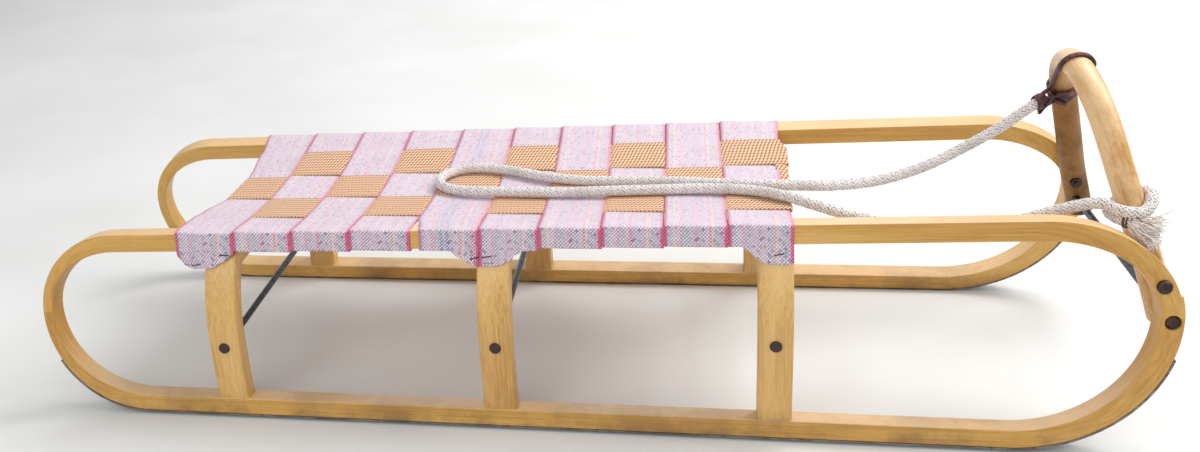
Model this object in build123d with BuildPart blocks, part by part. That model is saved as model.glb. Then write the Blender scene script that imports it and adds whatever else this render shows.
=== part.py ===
from build123d import *

import os
from math import asin, atan, atan2, cos, degrees, pi, radians, sin, sqrt, tan

os.makedirs("parts", exist_ok=True)

# A wooden sled with a horn bow. X runs forward, Y to the left, Z up from the ground, in millimetres.

# Runner loops: one strip of bent wood each, runner below and rail above, leaning inwards
track_width = 370.0
loop_lean = 7.6
strip_width = 24.5
strip_edge_radius = 1.2
runner_thickness = 19.0
front_bend_thickness = 21.0
rear_bend_thickness = 12.0
rail_thickness = 20.5
rail_height = 227.0
rail_slope = 0.0267
front_tip_x = 598.0
front_tip_height = 144.0
front_upper_reach = 121.0
front_lower_reach = 153.0
rear_tip_x = -604.0
rear_tip_height = 119.0
rear_upper_reach = 98.0
rear_lower_reach = 121.0
lap_end_height = 166.0
lap_step = 2.0

# Steel shoes under the runners, up to these angles on the end bends
shoe_thickness = 2.0
shoe_front_angle = -17.5
shoe_rear_angle = 210.0

# Arches that carry the rails: name, place along the sled, height of the tie rod
arch_places = (
    ("rear", -378.0, 91.0),
    ("middle", -70.0, 102.0),
    ("front", 219.0, 114.0),
)
arch_width = 35.0
arch_thickness = 22.0
arch_half_width = 185.5
arch_shoulder_radius = 26.0
arch_side_radius = 165.0
arch_side_turn = 30.0
arch_edge_radius = 2.5

# Steel tie rods with domed heads, one through the legs of each arch
tie_rod_radius = 3.75
tie_rod_head_radius = 6.2
tie_rod_head_height = 3.2

# Horn bow of round wood, leaning back from its lower bolts
bow_radius = 13.5
bow_lean = 15.8
bow_foot_x = 587.5
bow_foot_height = 141.2
bow_foot_overhang = 15.0
bow_knee = 45.0
bow_apex = 373.9
bow_knee_radius = 150.0
bow_crown_radius = 85.0
bow_seat_depth = 1.0
bow_end_radius = 3.0

# Steel cross rod between the legs of the bow
cross_rod_radius = 4.0
cross_rod_rise = 9.0
cross_rod_setback = 4.0

# Bolts that hold the bow to the loops: distance up the bow, depth that the head is let in
bolt_rows = ((0.0, 5.0), (37.4, 0.0))
bolt_radius = 3.0
bolt_head_radius = 7.0
bolt_head_height = 4.5
bolt_pocket_radius = 7.6
nut_radius = 6.3
nut_height = 5.0

# Webbing seat: cross straps folded over the rails, long straps woven through them
strap_count = 10
strap_front_edge = 239.3
strap_pitch = 66.73
strap_width = 62.0
strap_thickness = 1.4
strap_gap = 0.3
strap_tuck = 20.0
skirt_straps = (1, 6, 10)
skirt_gap = 1.0
skirt_end = 9.5
seat_sag = 13.0
long_strap_width = 62.0
long_strap_pitch = 73.0
long_strap_offset = -7.0
weave_gap = 0.6
long_strap_hem = 18.0

# Pull rope, its knot and the leather thong
rope_diameter = 12.5
knot_along_bow = 112.0
knot_height = 26.0
knot_thickness = 12.0
thong_along_bow = 180.0
thong_height = 15.0
thong_thickness = 4.0
thong_tie_radius = 8.5
crown_band_width = 14.0
crown_band_thickness = 2.5
crown_band_gap = 4.3
crown_band_length = 141.0
fit_gap = 0.3

# Frame of one loop: x forward, y up along its leaning side, z outwards. The soles' inner edges touch the ground.
lean_sin = sin(radians(loop_lean))
lean_cos = cos(radians(loop_lean))
sole_lift = strip_width * lean_sin
loop_plane = Plane(
    origin=(0, -track_width / 2, sole_lift),
    x_dir=(1, 0, 0),
    z_dir=(0, -lean_cos, lean_sin),
)
runner_top = shoe_thickness + runner_thickness


def loop_side(up):
    """Half width of the sled over the loops' outer faces, at a distance up their sides."""
    return track_width / 2 - up * lean_sin


def loop_height(up):
    """Height above the ground of the loops' outer faces, at a distance up their sides."""
    return sole_lift + up * lean_cos


def rail_top(x):
    """Distance up the loop's side to the rail's top face."""
    return rail_height + rail_slope * x


def bend_quarter(reach, tip_x, tip_height, direction, cut, drop):
    """Upper quarter of an end bend, from its tip to where it meets the rail: centre, radii, last angle."""
    centre_x = tip_x - direction * reach
    radius_x = reach - cut
    rise = rail_top(centre_x) - drop - tip_height
    radius_y = sqrt(rise**2 - (radius_x * rail_slope) ** 2)
    return (centre_x, tip_height), radius_x, radius_y, degrees(atan2(radius_y, -radius_x * rail_slope))


def front_quarter(cut, drop):
    """Upper quarter of the front bend."""
    return bend_quarter(front_upper_reach, front_tip_x, front_tip_height, 1, cut, drop)


def rear_quarter(cut, drop):
    """Upper quarter of the rear bend."""
    return bend_quarter(rear_upper_reach, rear_tip_x, rear_tip_height, -1, cut, drop)


def runner_line(front_cut, rear_cut, sole, front_angle=0.0, rear_angle=180.0):
    """Lower edge of a loop: the rear bend, the straight runner and the front bend. Gives its two ends."""
    front_centre = (front_tip_x - front_lower_reach, front_tip_height)
    rear_centre = (rear_tip_x + rear_lower_reach, rear_tip_height)
    heel = EllipticalCenterArc(
        rear_centre,
        rear_lower_reach - rear_cut,
        rear_tip_height - sole,
        start_angle=rear_angle,
        arc_size=270 - rear_angle,
    )
    nose = EllipticalCenterArc(
        front_centre,
        front_lower_reach - front_cut,
        front_tip_height - sole,
        start_angle=-90,
        arc_size=90 + front_angle,
    )
    Line(heel @ 1, nose @ 0)
    return heel @ 0, nose @ 1


def loop_outline(front_cut, rear_cut, sole, drop, step):
    """Closed outline of a loop. Above the end of the runner's lap the front bend is thinner by a step."""
    centre, radius_x, radius_y, _ = front_quarter(front_cut, drop)
    start = degrees(asin((lap_end_height - front_tip_height) / radius_y))
    lap = EllipticalCenterArc(centre, radius_x, radius_y, start_angle=0, arc_size=start)
    centre, radius_x, radius_y, angle = front_quarter(front_cut + step, drop)
    shoulder = EllipticalCenterArc(centre, radius_x, radius_y, start_angle=start, arc_size=angle - start)
    if step:
        Line(lap @ 1, shoulder @ 0)
    centre, radius_x, radius_y, angle = rear_quarter(rear_cut, drop)
    rear_shoulder = EllipticalCenterArc(centre, radius_x, radius_y, start_angle=angle, arc_size=180 - angle)
    Line(shoulder @ 1, rear_shoulder @ 0)
    runner_line(front_cut, rear_cut, sole)


def save(builder, name):
    """Label a finished piece and write it to its own file."""
    builder.part.label = name
    export_step(builder.part, f"parts/{name}.step")


# Horn bow: its plane has x to the left and y up and back along the bow
bow_plane = Plane(
    origin=(bow_foot_x, 0, bow_foot_height),
    x_dir=(0, 1, 0),
    z_dir=(cos(radians(bow_lean)), 0, sin(radians(bow_lean))),
)


def bow_half_width(along):
    """Half distance between the bow's legs below the knee, where they lie on the loops' inner faces."""
    height = bow_foot_height + along * cos(radians(bow_lean))
    up = (height - sole_lift) / lean_cos
    inner_face = loop_side(up) - strip_width / lean_cos
    return inner_face - (bow_radius - bow_seat_depth) / lean_cos


bow_foot = -bow_foot_overhang
bow_points = (
    (bow_half_width(bow_foot), bow_foot),
    (bow_half_width(bow_knee), bow_knee),
    (0, bow_apex),
    (-bow_half_width(bow_knee), bow_knee),
    (-bow_half_width(bow_foot), bow_foot),
)
with BuildLine(bow_plane) as bow_line:
    FilletPolyline(*bow_points, radius=[bow_knee_radius, bow_crown_radius, bow_knee_radius])
bow_wire = bow_line.wire()


def bow_station(distance):
    """Plane across the bow at a distance along it from its left foot."""
    place = bow_wire.position_at(distance, position_mode=PositionMode.LENGTH)
    along = bow_wire.tangent_at(distance, position_mode=PositionMode.LENGTH)
    return Plane(origin=place, z_dir=along)


# Bolts that hold the bow: planes square to the loop's outer face at each bolt, on the right side
bolt_planes = []
for up_bow, depth in bolt_rows:
    bolt_x = bow_foot_x - up_bow * sin(radians(bow_lean))
    bolt_up = (bow_foot_height + up_bow * cos(radians(bow_lean)) - sole_lift) / lean_cos
    place = loop_plane.from_local_coords((bolt_x, bolt_up, -depth))
    bolt_planes.append((Plane(origin=place, x_dir=loop_plane.x_dir, z_dir=loop_plane.z_dir), depth))
bow_inner_side = strip_width + 2 * bow_radius - bow_seat_depth

with BuildPart() as loop_right:
    with BuildSketch(loop_plane):
        with BuildLine():
            loop_outline(0, 0, shoe_thickness, 0, lap_step)
        make_face()
        with BuildLine():
            loop_outline(front_bend_thickness, rear_bend_thickness, runner_top, rail_thickness, 0)
        make_face(mode=Mode.SUBTRACT)
    extrude(amount=-strip_width)
    side_edges = loop_right.faces().filter_by(Axis((0, 0, 0), loop_plane.z_dir)).edges()
    fillet(side_edges.filter_by(lambda edge: edge.length > 2 * lap_step), strip_edge_radius)
    for plane, depth in bolt_planes:
        with BuildSketch(plane):
            Circle(bolt_radius + fit_gap)
        extrude(amount=-strip_width, mode=Mode.SUBTRACT)
        with BuildSketch(plane):
            Circle(bolt_pocket_radius)
        extrude(amount=depth + bolt_head_height, mode=Mode.SUBTRACT)
save(loop_right, "loop_right")

with BuildPart() as loop_left:
    mirror(loop_right.part, about=Plane.XZ)
save(loop_left, "loop_left")

with BuildPart() as shoe_right:
    with BuildSketch(loop_plane):
        with BuildLine():
            lower_ends = runner_line(-shoe_thickness, -shoe_thickness, 0, shoe_front_angle, shoe_rear_angle)
            upper_ends = runner_line(0, 0, shoe_thickness, shoe_front_angle, shoe_rear_angle)
            Line(lower_ends[0], upper_ends[0])
            Line(lower_ends[1], upper_ends[1])
        make_face()
    extrude(amount=-strip_width)
save(shoe_right, "shoe_right")

with BuildPart() as shoe_left:
    mirror(shoe_right.part, about=Plane.XZ)
save(shoe_left, "shoe_left")


def arch_sizes(x):
    """Heights of an arch's widest point and of its top, which is level with the underside of the rails."""
    top = loop_height(rail_top(x) - rail_thickness)
    rise = (arch_side_radius - arch_shoulder_radius) * sin(radians(arch_side_turn)) + arch_shoulder_radius
    return top - rise, top


def arch_foot(inset):
    """Half width at an arch's foot, measured to its outer face less an inset, at the runner's top."""
    centring = (strip_width - arch_thickness) / 2
    return loop_side(runner_top) - centring - inset


def arch_half(x, inset):
    """Left half of an arch's outer face, or of a face inside it by an inset, from the foot to the middle."""
    widest, top = arch_sizes(x)
    leg = TangentArc(
        (arch_half_width - inset, widest),
        (arch_foot(inset), loop_height(runner_top)),
        tangent=(0, -1),
    )
    foot = Line(leg @ 1, leg @ 1 + leg % 1 * arch_thickness)
    side = JernArc(leg @ 0, (0, 1), arch_side_radius - inset, arch_side_turn)
    shoulder = JernArc(side @ 1, side % 1, arch_shoulder_radius - inset, 90 - arch_side_turn)
    Line(shoulder @ 1, (0, top - inset))
    return foot @ 1


for place, x, rod_height in arch_places:
    arch_plane = Plane(origin=(x, 0, 0), x_dir=(0, -1, 0), z_dir=(-1, 0, 0))
    _, top = arch_sizes(x)
    with BuildPart() as arch:
        with BuildSketch(arch_plane):
            with BuildLine():
                outer_foot = arch_half(x, 0)
                inner_foot = arch_half(x, arch_thickness)
                Line(outer_foot, inner_foot)
                Line((0, top), (0, top - arch_thickness))
            make_face()
        extrude(amount=arch_width / 2, both=True)
        ends = arch.faces().filter_by(Axis.X).edges()
        bent_edges = ends.filter_by(lambda edge: abs((edge % 0.5).Z) < 1 and edge.center().Y < -fit_gap)
        fillet(bent_edges.filter_by_position(Axis.Z, runner_top, top), arch_edge_radius)
        with BuildSketch(loop_plane):
            with BuildLine():
                rear_x = x - arch_width
                front_x = x + arch_width
                rear_seat = rail_top(rear_x) - rail_thickness
                front_seat = rail_top(front_x) - rail_thickness
                Polyline(
                    (rear_x, rear_seat),
                    (front_x, front_seat),
                    (front_x, rail_height + arch_width),
                    (rear_x, rail_height + arch_width),
                    close=True,
                )
            make_face()
        extrude(amount=-strip_width, mode=Mode.SUBTRACT)
        with BuildSketch(loop_plane):
            with Locations((x, runner_top)):
                Rectangle(2 * arch_width, 2 * arch_thickness, align=(Align.CENTER, Align.MAX))
        extrude(amount=2 * strip_width, both=True, mode=Mode.SUBTRACT)
        with BuildSketch(Plane.XZ):
            with Locations((x, rod_height)):
                Circle(tie_rod_radius + fit_gap)
        extrude(amount=track_width, mode=Mode.SUBTRACT)
        mirror(about=Plane.XZ)
    save(arch, f"arch_{place}")

    with BuildPart() as tie_rod:
        with BuildSketch(Plane.XZ.offset(arch_half_width)):
            with Locations((x, rod_height)):
                Circle(tie_rod_head_radius)
        head = extrude(amount=tie_rod_head_height)
        fillet(head.faces().sort_by(Axis.Y)[0].edges(), tie_rod_head_height * 0.8)
        with BuildSketch(Plane.XZ):
            with Locations((x, rod_height)):
                Circle(tie_rod_radius)
        extrude(amount=arch_half_width)
        mirror(about=Plane.XZ)
    save(tie_rod, f"tie_rod_{place}")

# Horn bow, its legs flattened where they lie on the loops
cross_rod_place = bow_plane.from_local_coords((0, cross_rod_rise, -cross_rod_setback))
cross_rod_reach = bow_half_width(cross_rod_rise)
nut_seat = bow_inner_side - nut_height / 2
with BuildPart() as horn_bow:
    with BuildLine(bow_plane):
        FilletPolyline(*bow_points, radius=[bow_knee_radius, bow_crown_radius, bow_knee_radius])
    with BuildSketch(bow_station(0)):
        Circle(bow_radius)
    sweep()
    fillet(horn_bow.faces().filter_by(GeomType.PLANE).edges(), bow_end_radius)
    with BuildSketch(loop_plane.offset(-strip_width)):
        with Locations((bow_foot_x, bow_foot_height)):
            Rectangle(track_width, track_width)
    extrude(amount=strip_width, mode=Mode.SUBTRACT)
    for plane, depth in bolt_planes:
        with BuildSketch(plane):
            Circle(bolt_radius + fit_gap)
        extrude(amount=-bow_inner_side, mode=Mode.SUBTRACT)
        with BuildSketch(plane.offset(depth - nut_seat)):
            Circle(nut_radius + fit_gap)
        extrude(amount=-nut_height, mode=Mode.SUBTRACT)
    with BuildSketch(Plane.XZ):
        with Locations((cross_rod_place.X, cross_rod_place.Z)):
            Circle(cross_rod_radius + fit_gap)
    extrude(amount=cross_rod_reach + fit_gap, mode=Mode.SUBTRACT)
    split(bisect_by=Plane.XZ, keep=Keep.TOP)
    mirror(about=Plane.XZ)
save(horn_bow, "horn_bow")

with BuildPart() as cross_rod:
    with BuildSketch(Plane.XZ):
        with Locations((cross_rod_place.X, cross_rod_place.Z)):
            Circle(cross_rod_radius)
    extrude(amount=cross_rod_reach, both=True)
save(cross_rod, "cross_rod_front")

with BuildPart() as bolts_right:
    for plane, depth in bolt_planes:
        with BuildSketch(plane):
            Circle(bolt_head_radius)
        head = extrude(amount=bolt_head_height)
        fillet(head.faces().sort_by(Axis((0, 0, 0), plane.z_dir))[-1].edges(), bolt_head_height * 0.8)
        with BuildSketch(plane):
            Circle(bolt_radius)
        extrude(amount=depth - nut_seat - 1.5 * nut_height)
        with BuildSketch(plane.offset(depth - nut_seat)):
            RegularPolygon(nut_radius, 6)
        extrude(amount=-nut_height)
save(bolts_right, "bow_bolts_right")

with BuildPart() as bolts_left:
    mirror(bolts_right.part, about=Plane.XZ)
save(bolts_left, "bow_bolts_left")

# Seat: its frame at the rails' outer top edge in the middle of the sled, x along the rails, y up from them
rail_angle = degrees(atan(rail_slope * lean_cos))
seat_plane = Plane(
    origin=(0, 0, loop_height(rail_height)),
    x_dir=(cos(radians(rail_angle)), 0, sin(radians(rail_angle))),
    z_dir=(0, -1, 0),
)
seam_sides = [long_strap_offset + (row - 1.5) * long_strap_pitch for row in range(4)]


def seat_rise(x, side):
    """Height of the cross straps' lower face over the rails' outer top edge: it sags between the rails."""
    edge = loop_side(rail_top(x)) - strip_width * lean_cos - strap_gap * lean_sin
    level = strap_gap * lean_cos - strip_width * lean_sin
    return level - seat_sag * (1 - (side / edge) ** 2)


def strap_half(x, skirt):
    """Right half of a cross strap's inner face, from its hem up round the rail to the rail's inner edge."""
    side = loop_side(rail_top(x))
    gap_out = (strap_gap * lean_cos, strap_gap * lean_sin)
    gap_up = (-strap_gap * lean_sin, strap_gap * lean_cos)
    below = (side + rail_thickness * lean_sin, -rail_thickness * lean_cos)
    outer_top = (side + gap_out[0] + gap_up[0], gap_out[1] + gap_up[1])
    outer_bottom = (below[0] + gap_out[0] - gap_up[0], below[1] + gap_out[1] - gap_up[1])
    inner_top = (side - strip_width * lean_cos + gap_up[0], gap_up[1] - strip_width * lean_sin)
    if skirt:
        widest, top = arch_sizes(x)
        turn = radians(arch_side_turn)
        shoulder_side = arch_half_width - arch_side_radius * (1 - cos(turn)) + skirt_gap * cos(turn)
        shoulder_height = widest + (arch_side_radius + skirt_gap) * sin(turn) - loop_height(rail_top(x))
        end = (shoulder_side + skirt_end * sin(turn), shoulder_height - skirt_end * cos(turn))
        over_arch = top + skirt_gap - loop_height(rail_top(x))
        knee = (shoulder_side - (over_arch - shoulder_height) * tan(turn), over_arch)
        hem = [end, (shoulder_side, shoulder_height), max(knee, outer_bottom)]
    else:
        hem = [(outer_bottom[0] - strap_tuck * lean_cos, outer_bottom[1] - strap_tuck * lean_sin), outer_bottom]
    return [(-across, up) for across, up in [*hem, outer_top, inner_top]]


strap_middles = [strap_front_edge + (number - strap_count - 0.5) * strap_pitch for number in range(1, strap_count + 1)]
for number, x in enumerate(strap_middles, start=1):
    right = strap_half(x, number in skirt_straps)
    middle = [(side, seat_rise(x, side)) for side in seam_sides]
    left = [(-across, up) for across, up in reversed(right)]
    section = Plane(
        origin=(x, 0, loop_height(rail_top(x))),
        x_dir=(0, 1, 0),
        z_dir=seat_plane.x_dir,
    )
    with BuildPart() as cross_strap:
        with BuildSketch(section):
            with BuildLine():
                Polyline(*right, *middle, *left)
                offset(amount=strap_thickness, side=Side.LEFT)
            make_face()
        extrude(amount=strap_width / 2, both=True)
    save(cross_strap, f"cross_strap_{number:02d}")

# Long straps, each woven over every second cross strap
weave_lift = strap_thickness + weave_gap
for row, over_first in (("right", 0), ("middle", 1), ("left", 0)):
    index = ("right", "middle", "left").index(row)
    near, far = seam_sides[index], seam_sides[index + 1]
    tilt = degrees(atan2(seat_rise(0, far) - seat_rise(0, near), far - near))
    height = (seat_rise(0, near) + seat_rise(0, far)) / 2
    row_plane = Plane(
        origin=seat_plane.from_local_coords((0, height, -(near + far) / 2)),
        x_dir=seat_plane.x_dir,
        z_dir=seat_plane.z_dir,
    ).rotated((tilt, 0, 0))
    path = []
    for number, x in enumerate(strap_middles, start=1):
        lift = weave_lift if (number + over_first) % 2 == 0 else -weave_lift
        path += [(x - strap_width / 2, lift), (x + strap_width / 2, lift)]
    rear_lift, front_lift = path[0][1], path[-1][1]
    if front_lift > 0:
        edge = path.pop()[0]
        path += [(edge + weave_gap, front_lift), (edge + weave_gap, -front_lift), (edge - long_strap_hem, -front_lift)]
    if rear_lift > 0:
        edge = path.pop(0)[0]
        path = [(edge + long_strap_hem, -rear_lift), (edge - weave_gap, -rear_lift), (edge - weave_gap, rear_lift)] + path
    with BuildPart() as long_strap:
        with BuildSketch(row_plane):
            with BuildLine():
                Polyline(*path)
                offset(amount=strap_thickness, side=Side.LEFT)
            make_face()
        extrude(amount=long_strap_width / 2, both=True)
    save(long_strap, f"long_strap_{row}")

# Pull rope: from the thong at the left leg of the bow back along the seat, round, and forward to the right leg
rope_points = (
    (513, 53, 292),
    (496, 41, 286.5),
    (469, 32, 268.5),
    (426, 18, 248.5),
    (393, 5, 236),
    (360, -8, 228.5),
    (328, -20, 225),
    (284, -35, 227),
    (250, -42, 230.5),
    (212, -40, 230),
    (176, -33, 228.5),
    (110, -21, 226),
    (47, -17, 224.5),
    (8, -14, 223.5),
    (-38, 2, 222.5),
    (-77, 22, 222),
    (-112, 32, 221.5),
    (-138, 29, 220.5),
    (-157, 11, 220),
    (-158, -14, 220),
    (-142, -33, 220.5),
    (-114, -43, 222),
    (-76, -47, 223.5),
    (-17, -54, 225.5),
    (50, -51, 227),
    (100, -50, 228),
    (152, -47, 229),
    (200, -56, 231),
    (234, -82, 235.5),
    (264, -102, 233),
    (304, -108, 222),
    (352, -108, 212),
    (400, -108, 211),
    (446, -109, 217),
    (478, -110, 227),
    (502, -110, 237),
    (521, -109, 243),
    (532, -108, 244.5),
)


def corner_turn(before, corner, after):
    """Angle in degrees that the rope turns through at a corner of its route."""
    return (Vector(*corner) - Vector(*before)).get_angle(Vector(*after) - Vector(*corner))


def corner_radius(before, corner, after):
    """Radius of the rope's arc at a corner: as large as its two runs allow."""
    shorter = min((Vector(*corner) - Vector(*before)).length, (Vector(*after) - Vector(*corner)).length)
    return 0.45 * shorter / tan(radians(corner_turn(before, corner, after) / 2))


rope_corners = list(zip(rope_points, rope_points[1:], rope_points[2:]))
rope_radii = [corner_radius(*corner) for corner in rope_corners]
print("rope radii", [round(radius) for radius in rope_radii])
print("rope turns", [round(corner_turn(*corner)) for corner in rope_corners])
with BuildPart() as rope:
    with BuildLine() as rope_route:
        FilletPolyline(*rope_points, radius=rope_radii)
    rope_start = Vector(*rope_points[1]) - Vector(*rope_points[0])
    with BuildSketch(Plane(origin=rope_points[0], z_dir=rope_start)):
        Circle(rope_diameter / 2)
    sweep()
rope_length = rope_route.wire().length
rope_volume = rope_length * (rope_diameter / 2) ** 2 * pi
print("rope length", rope_length, "volume share", rope.part.volume / rope_volume)
save(rope, "rope")

# The bow's legs with some room round them, which the knot and the thong are cut to
with BuildPart() as bow_room:
    with BuildLine(bow_plane):
        FilletPolyline(*bow_points, radius=[bow_knee_radius, bow_crown_radius, bow_knee_radius])
    with BuildSketch(bow_station(0)):
        Circle(bow_radius + fit_gap)
    sweep()

# Knot of the rope round the bow's right leg, with the short stub that the rope comes out of
knot_plane = bow_station(bow_wire.length - knot_along_bow)
rope_end = Vector(*rope_points[-1])
with BuildPart() as rope_knot:
    with BuildSketch(knot_plane):
        Circle(bow_radius + fit_gap + knot_thickness)
    extrude(amount=knot_height / 2, both=True)
    fillet(rope_knot.edges(), knot_thickness * 0.45)
    with BuildSketch(Plane(origin=rope_end, z_dir=rope_end - Vector(*rope_points[-2]))):
        Circle(rope_diameter / 2)
    extrude(amount=(knot_plane.origin - rope_end).length - bow_radius)
    add(bow_room.part, mode=Mode.SUBTRACT)
save(rope_knot, "rope_knot")

# Leather thong: wrapped round the bow's left leg, tied over the rope's end
thong_plane = bow_station(thong_along_bow)
tie_start = Vector(*rope_points[0])
with BuildPart() as thong:
    with BuildSketch(thong_plane):
        Circle(bow_radius + fit_gap + thong_thickness)
    extrude(amount=thong_height / 2, both=True)
    chamfer(thong.edges(), thong_thickness * 0.3)
    with BuildSketch(Plane(origin=tie_start, z_dir=tie_start - Vector(*rope_points[1]))):
        Circle(thong_tie_radius)
    extrude(amount=(thong_plane.origin - tie_start).length - bow_radius)
    add(bow_room.part, mode=Mode.SUBTRACT)
    # Its band runs on along the outer side of the crown
    band_start = thong_along_bow + thong_height / 2 + crown_band_gap
    band_end = band_start + crown_band_length
    band_line = bow_wire.trim(band_start / bow_wire.length, band_end / bow_wire.length)
    band_plane = Plane(origin=band_line @ 0, x_dir=bow_plane.z_dir, z_dir=band_line % 0)
    with BuildSketch(band_plane):
        with Locations((0, bow_radius + fit_gap + crown_band_thickness / 2)):
            Rectangle(crown_band_width, crown_band_thickness)
    sweep(path=band_line)
save(thong, "thong")
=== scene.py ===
import logging
import math
import random
from dataclasses import dataclass, field
from enum import Enum
from functools import partialmethod

import bpy
from mathutils import Matrix, Vector


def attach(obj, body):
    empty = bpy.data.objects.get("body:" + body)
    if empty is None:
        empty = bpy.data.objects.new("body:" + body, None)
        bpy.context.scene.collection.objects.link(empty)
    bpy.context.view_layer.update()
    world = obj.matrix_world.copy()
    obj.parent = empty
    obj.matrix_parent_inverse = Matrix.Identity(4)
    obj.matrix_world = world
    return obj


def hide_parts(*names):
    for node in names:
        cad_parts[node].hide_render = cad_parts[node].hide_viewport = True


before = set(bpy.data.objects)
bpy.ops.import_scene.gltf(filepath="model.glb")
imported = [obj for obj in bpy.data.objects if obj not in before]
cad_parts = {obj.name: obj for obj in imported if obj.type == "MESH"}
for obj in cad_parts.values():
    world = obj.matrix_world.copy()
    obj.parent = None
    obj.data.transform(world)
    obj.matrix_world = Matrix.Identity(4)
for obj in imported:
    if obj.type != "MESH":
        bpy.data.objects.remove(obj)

log = logging.getLogger("sled")

Colour = tuple[float, float, float]
Point = tuple[float, float, float]
Material = bpy.types.Material
Piece = bpy.types.Object
Socket = bpy.types.NodeSocket


def ink(red: int, green: int, blue: int) -> Colour:
    """Give the linear colour of a dyer's swatch.

    Args:
        red: Red of the swatch as it looks, 0 to 255.
        green: Green of the swatch.
        blue: Blue of the swatch.

    Returns:
        The same colour as the shader takes it.
    """
    channels = (red / 255, green / 255, blue / 255)
    return tuple(c / 12.92 if c <= 0.04045 else ((c + 0.055) / 1.055) ** 2.4 for c in channels)


def deselect() -> None:
    """Leave nothing selected, so that the next operator takes only what it is given."""
    bpy.ops.object.select_all(action="DESELECT")


def take(piece: Piece) -> None:
    """Select one piece alone and make it active."""
    deselect()
    piece.select_set(True)
    bpy.context.view_layer.objects.active = piece


def mesh_piece(name: str, points: list, faces: list, uv: list | None = None) -> Piece:
    """Make an object from points and faces.

    Args:
        name: Name of the piece.
        points: Places of its corners, in metres.
        faces: Corner numbers of each face.
        uv: Cloth coordinates of each corner, in metres, if the piece needs them.

    Returns:
        The new object, at the origin and shaded smooth.
    """
    mesh = bpy.data.meshes.new(name)
    mesh.from_pydata([tuple(p) for p in points], [], faces)
    if uv is not None:
        layer = mesh.uv_layers.new(name="UVMap")
        for loop in mesh.loops:
            layer.data[loop.index].uv = uv[loop.vertex_index]
    mesh.update()
    piece = bpy.data.objects.new(name, mesh)
    bpy.context.collection.objects.link(piece)
    for polygon in mesh.polygons:
        polygon.use_smooth = True
    return piece


def sheet_faces(columns: int, rows: int, turned: bool = False) -> list[tuple[int, int, int, int]]:
    """Give the faces of a sheet whose corners were placed column by column.

    Args:
        columns: Strips of faces across the sheet.
        rows: Corners of a column.
        turned: Whether the faces look the other way.

    Returns:
        Corner numbers of each face.
    """
    faces = []
    for column in range(columns):
        for row in range(rows - 1):
            first = column * rows + row
            here, ahead, across, beside = first, first + 1, first + rows + 1, first + rows
            faces.append((here, beside, across, ahead) if turned else (here, ahead, across, beside))
    return faces


def swing(first: Vector, second: Vector, angle: float) -> Vector:
    """Turn one direction towards another at right angles to it, by an angle in radians."""
    return first * math.cos(angle) + second * math.sin(angle)


def dress(piece: Piece, material: Material) -> None:
    """Give a piece its one material."""
    piece.data.materials.clear()
    piece.data.materials.append(material)


def seat_on_frame(piece: Piece, slot: str, *nodes: str) -> None:
    """Let a new piece ride on the sled in place of its solids.

    Args:
        piece: The new piece.
        slot: Material slot of the record; not used.
        nodes: Solids that it stands for.
    """
    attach(piece, "root")
    if nodes:
        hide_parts(*nodes)
    log.info("made %s", piece.name)


# Sizes of the sled, in metres, as in the part's source


@dataclass(frozen=True)
class Sizes:
    """Driving dimensions that the pieces of this scene share."""

    track_width: float = 0.370
    loop_lean: float = math.radians(7.6)
    strip_width: float = 0.0245
    rail_height: float = 0.227
    rail_slope: float = 0.0267
    rail_thickness: float = 0.0205
    bow_radius: float = 0.0135
    bow_lean: float = math.radians(15.8)
    bow_tilt: float = math.radians(20.6)

    # Bow: foot of its plane, its legs' line, and its crown's middle and bend in that plane
    bow_x: float = 0.5875
    bow_z: float = 0.1412
    bow_leg: float = 0.1315
    crown_up: float = 0.1321
    crown_radius: float = 0.085

    rope_diameter: float = 0.0125
    strap_count: int = 10
    strap_front_edge: float = 0.2393
    strap_pitch: float = 0.06673
    seat_sag: float = 0.011

    def side(self, up: float) -> float:
        """Half width over the loops' outer faces, at a distance up their sides."""
        return self.track_width / 2 - up * math.sin(self.loop_lean)

    def height(self, up: float) -> float:
        """Height above the ground of the loops' outer faces, at a distance up their sides."""
        return self.strip_width * math.sin(self.loop_lean) + up * math.cos(self.loop_lean)

    def rail_top(self, x: float) -> float:
        """Distance up the loop's side to the top of its rail."""
        return self.rail_height + self.rail_slope * x


SLED = Sizes()


# Materials


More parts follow.
